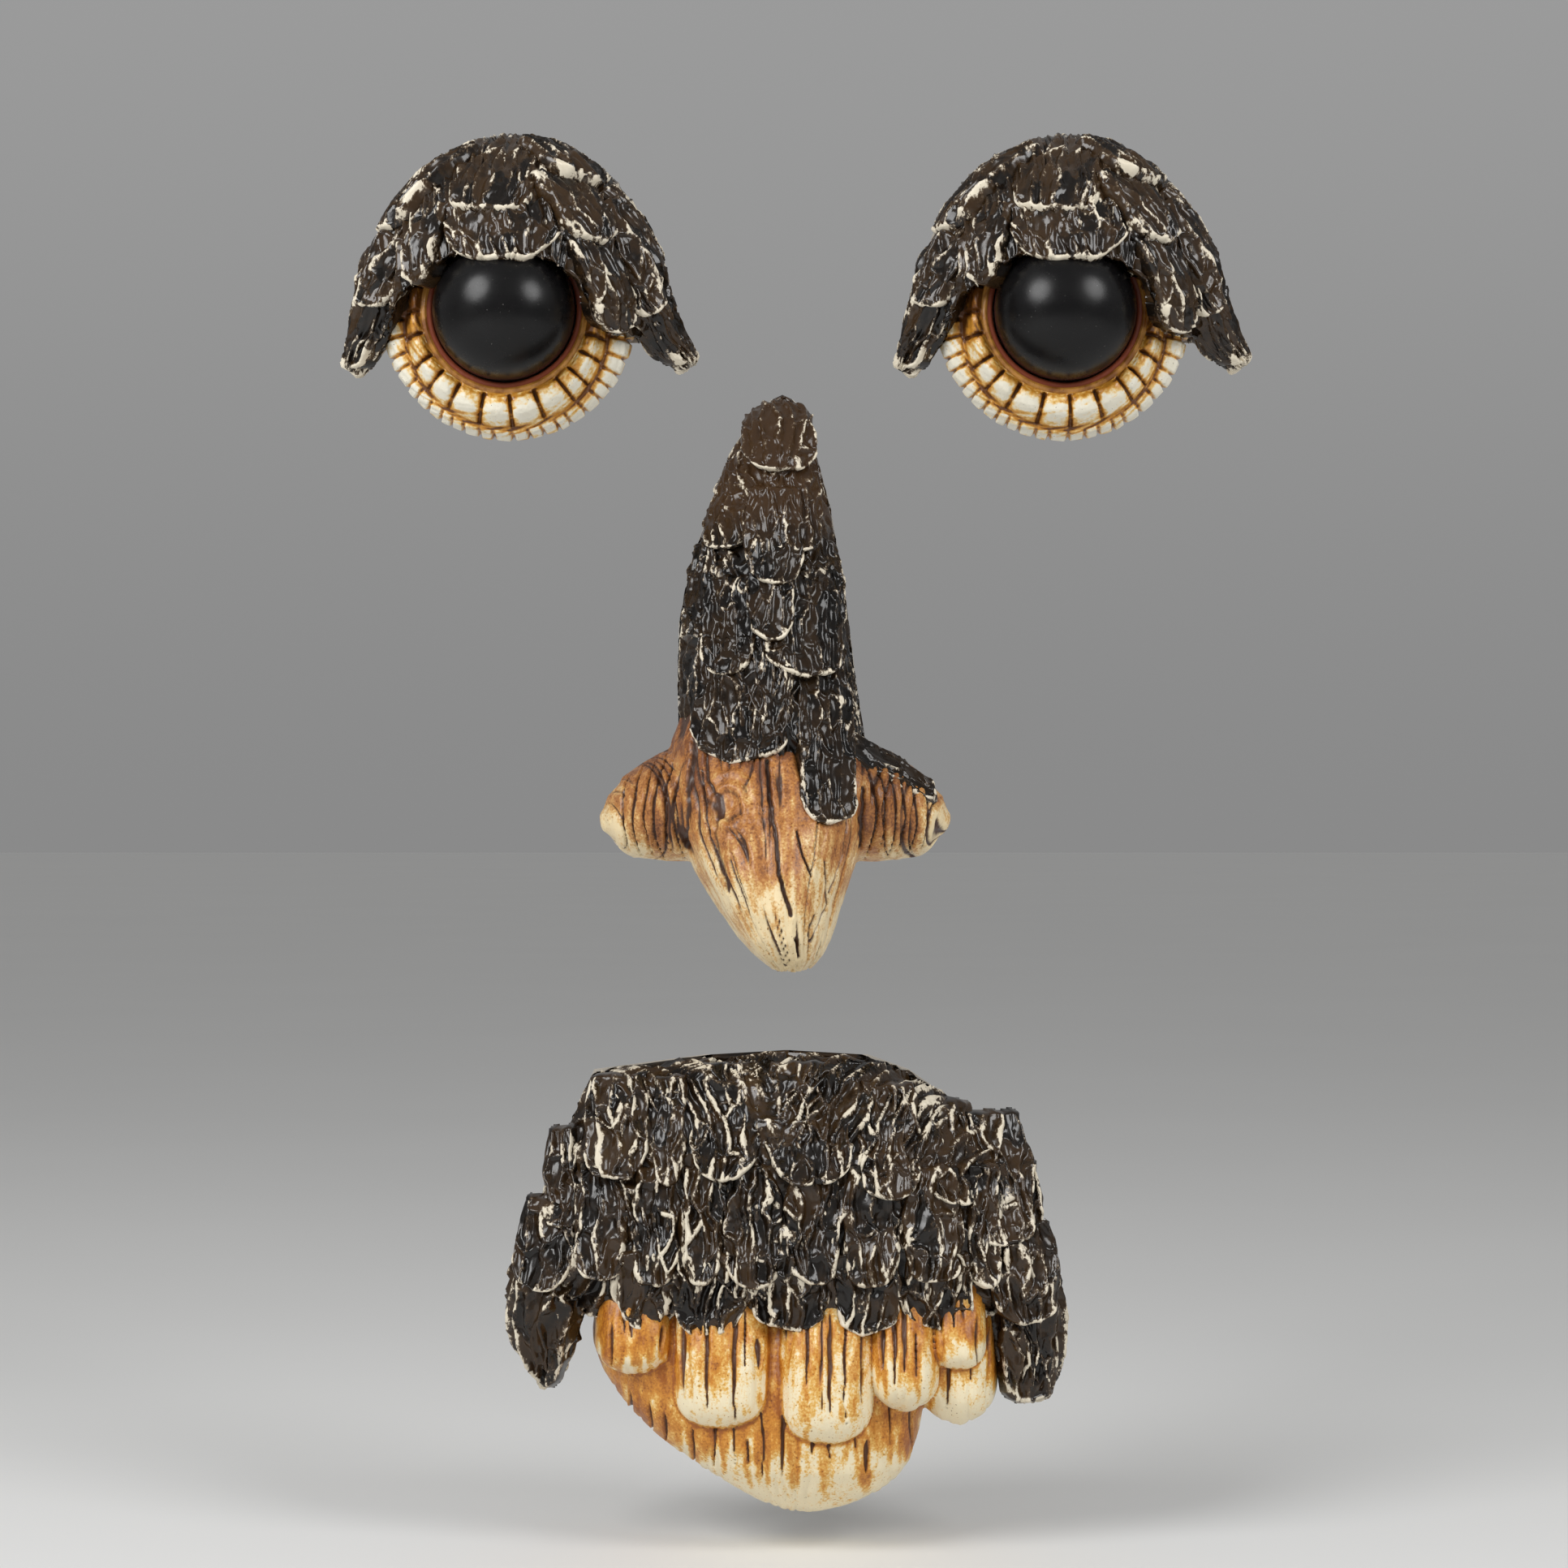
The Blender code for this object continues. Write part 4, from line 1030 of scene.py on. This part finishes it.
class Nodes:
    """A short way to write a material's nodes."""

    def __init__(self, name):
        self.material = bpy.data.materials.new(name)
        self.material.use_nodes = True
        self.tree = self.material.node_tree
        self.shader = self.tree.nodes["Principled BSDF"]
        self.place = self.add("ShaderNodeTexCoord").outputs["Object"]

    def add(self, kind, **settings):
        node = self.tree.nodes.new(kind)
        for key, value in settings.items():
            setattr(node, key, value)
        return node

    def link(self, source, target):
        if isinstance(source, (int, float, tuple)):
            target.default_value = source
        else:
            self.tree.links.new(source, target)

    def attribute(self, name):
        return self.add("ShaderNodeAttribute", attribute_name=name).outputs["Fac"]

    def noise(self, scale, detail=3.0, stretch=(1.0, 1.0, 1.0), rough=0.55):
        mapping = self.add("ShaderNodeMapping")
        mapping.inputs["Scale"].default_value = stretch
        self.link(self.place, mapping.inputs["Vector"])
        node = self.add("ShaderNodeTexNoise")
        node.inputs["Scale"].default_value = scale
        node.inputs["Detail"].default_value = detail
        node.inputs["Roughness"].default_value = rough
        self.link(mapping.outputs["Vector"], node.inputs["Vector"])
        return node.outputs["Fac"]

    def math(self, operation, a, b=0.0, c=0.0, clamp=False):
        node = self.add("ShaderNodeMath", operation=operation, use_clamp=clamp)
        for source, target in zip((a, b, c), node.inputs):
            self.link(source, target)
        return node.outputs[0]

    def span(self, value, low, high, out_low=0.0, out_high=1.0):
        node = self.add("ShaderNodeMapRange", interpolation_type="SMOOTHSTEP")
        for source, target in zip((value, low, high, out_low, out_high), node.inputs):
            self.link(source, target)
        return node.outputs["Result"]

    def mix(self, share, a, b):
        node = self.add("ShaderNodeMix", data_type="RGBA")
        self.link(share, node.inputs["Factor"])
        for source, target in ((a, node.inputs[6]), (b, node.inputs[7])):
            self.link((*source, 1.0) if isinstance(source, tuple) else source, target)
        return node.outputs[2]

    def bump(self, height, distance, strength=1.0):
        node = self.add("ShaderNodeBump")
        node.inputs["Distance"].default_value = distance
        node.inputs["Strength"].default_value = strength
        self.link(height, node.inputs["Height"])
        self.link(node.outputs["Normal"], self.shader.inputs["Normal"])

    def ragged(self, value, noise, amount):
        """A value that noise moves up and down, over a range of amount in all."""
        return self.math("ADD", value, self.math("MULTIPLY_ADD", noise, amount, -amount / 2))

    def coat(self, weight, roughness):
        self.shader.inputs["Coat Weight"].default_value = weight
        self.shader.inputs["Coat Roughness"].default_value = roughness

    def finish(self, colour, roughness):
        self.link(colour, self.shader.inputs["Base Color"])
        self.link(roughness, self.shader.inputs["Roughness"])
        return self.material


def bark_material(name, cream, edge, gloss, dark=1.0, cap=1.0):
    """Cream on the crests and edges of near-black bark, which turns brown above the height called cap."""
    n = Nodes(name)
    crest, lip, tone = n.attribute("crest"), n.attribute("lip"), n.attribute("stain")
    grain = n.noise(1000.0, 5.0, (1.0, 1.0, 0.6), 0.7)
    patch = n.noise(85.0, 2.0)
    shade = n.math("MULTIPLY_ADD", tone, 0.55, n.math("MULTIPLY_ADD", n.noise(150.0, 3.0), 1.2, -0.4))
    split = n.add("ShaderNodeSeparateXYZ")
    n.link(n.place, split.inputs[0])
    above = n.span(split.outputs["Z"], cap - 0.02, cap)
    black = (0.0055 * dark, 0.0034 * dark, 0.002 * dark)
    deep = n.mix(n.span(shade, 0.2, 0.75), black, (0.040 * dark, 0.021 * dark, 0.008 * dark))
    deep = n.mix(n.math("MULTIPLY", above, 0.8), deep, (0.055, 0.028, 0.012))
    strength = n.math("MULTIPLY", crest, n.span(patch, 0.36, 0.64, 0.4 * cream, 1.25 * cream))
    broken = n.span(n.noise(430.0, 3.0, (1.0, 1.0, 0.7)), 0.38, 0.54, 0.6, 1.1)
    strength = n.math("MULTIPLY", strength, broken)
    lip = n.math("MULTIPLY", lip, n.span(n.noise(230.0, 2.0), 0.36, 0.6, 0.5, 1.15))
    strength = n.math("ADD", strength, n.math("MULTIPLY", lip, edge))
    strength = n.ragged(strength, grain, 1.7)
    body = n.mix(n.span(strength, 0.26, 0.6), deep, (0.13, 0.088, 0.052))
    paint = n.span(strength, 0.46, 0.68)
    pale = n.mix(n.noise(260.0), (0.60, 0.52, 0.39), (0.90, 0.83, 0.68))
    colour = n.mix(paint, body, pale)
    roughness = n.math("MULTIPLY_ADD", paint, 0.28, 0.22)
    n.shader.inputs["Specular IOR Level"].default_value = gloss
    n.coat(0.1, 0.1)
    n.bump(n.noise(260.0, 2.0), 0.0003, 0.2)
    return n.finish(colour, roughness)


def ivory_material():
    n = Nodes("ivory_teeth")
    zone, stain = n.attribute("crest"), n.attribute("stain")
    fine = n.noise(700.0, 3.0)
    blotch = n.noise(170.0, 4.0)
    # the stain attribute holds the ring's stains and also the painted shade on the rim's back edge
    amount = n.math("ADD", stain, n.math("MULTIPLY_ADD", blotch, 1.0, -0.52))
    amount = n.ragged(amount, n.noise(900.0, 2.0), 0.7)
    ivory = n.mix(n.noise(120.0), (0.78, 0.72, 0.56), (0.88, 0.85, 0.74))
    amber = n.mix(fine, (0.46, 0.17, 0.012), (0.64, 0.31, 0.04))
    colour = n.mix(n.span(amount, 0.2, 0.6), ivory, (0.82, 0.56, 0.19))
    colour = n.mix(n.span(amount, 0.4, 0.85), colour, amber)
    colour = n.mix(n.span(amount, 0.85, 1.35), colour, (0.13, 0.042, 0.006))
    gold = n.mix(n.span(blotch, 0.35, 0.65), (0.20, 0.065, 0.008), (0.50, 0.23, 0.04))
    colour = n.mix(n.span(zone, 0.18, 0.32), colour, gold)
    colour = n.mix(n.span(zone, 0.62, 0.85), colour, (0.23, 0.052, 0.024))
    specks = n.span(n.noise(1500.0, 1.0), 0.72, 0.76)
    colour = n.mix(n.math("MULTIPLY", specks, 0.7), colour, (0.10, 0.05, 0.02))
    n.bump(fine, 0.0003, 0.6)
    n.coat(0.15, 0.25)
    return n.finish(colour, n.math("MULTIPLY_ADD", n.span(amount, 0.2, 1.0), -0.14, 0.46))


def carved_material(name, coat, pale, between, tan, dark, line):
    """Stained wood or ivory, from pale on the raised ends to dark, with lines in the grooves."""
    n = Nodes(name)
    groove, stain = n.attribute("crest"), n.attribute("stain")
    fine = n.noise(600.0, 4.0, (1.0, 1.0, 0.3))
    blotch = n.noise(120.0, 4.0, (1.0, 1.0, 0.55))
    speck = n.noise(420.0, 2.0, (1.0, 1.0, 0.6))
    amount = n.ragged(n.ragged(stain, blotch, 0.9), speck, 0.9)
    amount = n.ragged(amount, n.noise(1300.0, 3.0), 1.3)
    colour = n.mix(n.span(amount, 0.05, 0.5), pale, between)
    colour = n.mix(n.span(amount, 0.3, 0.85), colour, tan)
    colour = n.mix(n.span(amount, 0.75, 1.4), colour, dark)
    lines = n.ragged(groove, fine, 0.5)
    colour = n.mix(n.span(lines, 0.25, 0.75), colour, line)
    dots = n.span(n.noise(1300.0, 1.0), 0.70, 0.75)
    colour = n.mix(n.math("MULTIPLY", dots, 0.65), colour, line)
    n.bump(n.math("ADD", fine, n.math("MULTIPLY", speck, 0.6)), 0.0004, 0.7)
    n.coat(coat, 0.25)
    return n.finish(colour, n.span(fine, 0.3, 0.7, 0.38, 0.52))


def ball_material():
    n = Nodes("black_ball")
    haze = n.noise(90.0, 4.0)
    dust = n.span(n.noise(1900.0, 1.0), 0.775, 0.80)
    colour = n.mix(haze, (0.002, 0.002, 0.0025), (0.005, 0.0045, 0.0045))
    colour = n.mix(n.math("MULTIPLY", dust, 0.35), colour, (0.5, 0.48, 0.45))
    n.bump(n.noise(260.0, 3.0), 0.00008, 0.4)
    n.shader.inputs["Specular IOR Level"].default_value = 0.28
    return n.finish(colour, n.span(haze, 0.35, 0.65, 0.24, 0.31))


def resin_material():
    n = Nodes("bare_resin")
    cloud = n.noise(70.0, 4.0)
    colour = n.mix(cloud, (0.47, 0.43, 0.37), (0.60, 0.56, 0.49))
    pits = n.span(n.noise(500.0, 2.0), 0.66, 0.74)
    colour = n.mix(n.math("MULTIPLY", pits, 0.6), colour, (0.25, 0.22, 0.18))
    n.bump(n.math("SUBTRACT", cloud, pits), 0.0004, 0.5)
    return n.finish(colour, n.span(cloud, 0.3, 0.7, 0.55, 0.75))


def floor_material():
    n = Nodes("floor")
    tone = n.noise(3.0, 2.0)
    return n.finish(n.mix(tone, (0.79, 0.79, 0.78), (0.82, 0.82, 0.81)), n.span(tone, 0.3, 0.7, 0.85, 0.9))


# Stage

CAMERA_DISTANCE = 1.2
FRAME_WIDTH = 0.52164
FRAME_CENTRE = Vector((0.003, 0.0, -0.034))
SENSOR_WIDTH = 36.0
FLOOR_UP = -0.285
FLOOR_HALF = 12.0
LIGHT_DISTANCE = 1.3
# Each lamp's name, direction from the face, size across and power.
LIGHTS = (
    ("key", (-0.61, -0.613, 0.503), 0.72, 11.5),
    ("fill", (0.656, -0.57, 0.496), 0.58, 7.0),
)
# The sky's tone just below the horizon and well above it, and how bright it is in all.
SKY_RISE = (-0.02, 0.25)
SKY_TONES = (0.77, 1.0)
SKY_STRENGTH = 0.33


def add_camera():
    data = bpy.data.cameras.new("camera")
    data.lens = SENSOR_WIDTH * CAMERA_DISTANCE / FRAME_WIDTH
    data.sensor_width = SENSOR_WIDTH
    data.clip_end = 20.0
    camera = linked("camera", data)
    camera.location = FRAME_CENTRE + Vector((0.0, -CAMERA_DISTANCE, 0.0))
    camera.rotation_euler = (math.pi / 2, 0.0, 0.0)
    bpy.context.scene.camera = camera


def add_light(name, direction, size, power):
    data = bpy.data.lights.new(name, "AREA")
    data.shape = "DISK"
    data.size = size
    data.energy = power
    light = linked(name, data)
    way = Vector(direction).normalized()
    light.location = FRAME_CENTRE + way * LIGHT_DISTANCE
    light.rotation_euler = (-way).to_track_quat("-Z", "Y").to_euler()


def add_stage():
    mesh = bpy.data.meshes.new("floor")
    corners = [(FLOOR_HALF * x, FLOOR_HALF * y, 0) for x, y in ((-1, -1), (1, -1), (1, 1), (-1, 1))]
    mesh.from_pydata(corners, [], [(0, 1, 2, 3)])
    mesh.materials.append(floor_material())
    floor = linked("floor", mesh)
    floor.location = (0.0, 0.0, FLOOR_UP)
    world = bpy.data.worlds.new("world")
    bpy.context.scene.world = world
    world.use_nodes = True
    tree = world.node_tree
    split = tree.nodes.new("ShaderNodeSeparateXYZ")
    tree.links.new(tree.nodes.new("ShaderNodeTexCoord").outputs["Generated"], split.inputs[0])
    rise = tree.nodes.new("ShaderNodeMapRange")
    rise.interpolation_type = "SMOOTHSTEP"
    for value, socket in zip(SKY_RISE + SKY_TONES, rise.inputs[1:5]):
        socket.default_value = value
    tree.links.new(split.outputs["Z"], rise.inputs[0])
    tree.links.new(rise.outputs["Result"], tree.nodes["Background"].inputs["Color"])
    tree.nodes["Background"].inputs["Strength"].default_value = SKY_STRENGTH
    for name, direction, size, power in LIGHTS:
        add_light(name, direction, size, power)
    bpy.context.scene.view_settings.view_transform = "Standard"


def dress(piece, node):
    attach(piece, "root")
    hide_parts(node)


def main():
    eye_bark = bark_material("bark_of_the_eyes", cream=0.7, edge=1.15, gloss=0.4)
    nose_bark_look = bark_material("bark_of_the_nose", cream=0.6, edge=0.9, gloss=0.3, dark=0.55, cap=0.06)
    mouth_bark_look = bark_material("bark_of_the_mouth", cream=0.92, edge=0.95, gloss=0.4)
    teeth = ivory_material()
    wood = carved_material(
        "carved_wood", coat=0.12,
        pale=(0.84, 0.68, 0.41), between=(0.70, 0.43, 0.15), tan=(0.45, 0.18, 0.042),
        dark=(0.17, 0.05, 0.010), line=(0.055, 0.017, 0.004),
    )
    lip_look = carved_material(
        "stained_lip", coat=0.15,
        pale=(0.88, 0.77, 0.53), between=(0.80, 0.50, 0.13), tan=(0.60, 0.24, 0.024),
        dark=(0.34, 0.10, 0.008), line=(0.10, 0.030, 0.005),
    )
    black = ball_material()
    resin = resin_material()
    for node, place in (("left_eye", LEFT_EYE), ("right_eye", RIGHT_EYE)):
        dress(hood(place, node + "_hood", eye_bark), node)
        dress(lid(place, node + "_lid", teeth), node)
        dress(backing(node, node + "_backing", resin), node)
        dress(eyeball(place, node + "_ball", black), node + "ball")
    dress(nose_bark(nose_bark_look), "nose")
    dress(nose_wood(wood), "nose")
    dress(backing("nose", "nose_backing", resin), "nose")
    dress(mouth_bark(mouth_bark_look), "mouth")
    dress(lower_lip(lip_look), "mouth")
    dress(backing("mouth", "mouth_backing", resin), "mouth")


add_camera()
add_stage()
main()
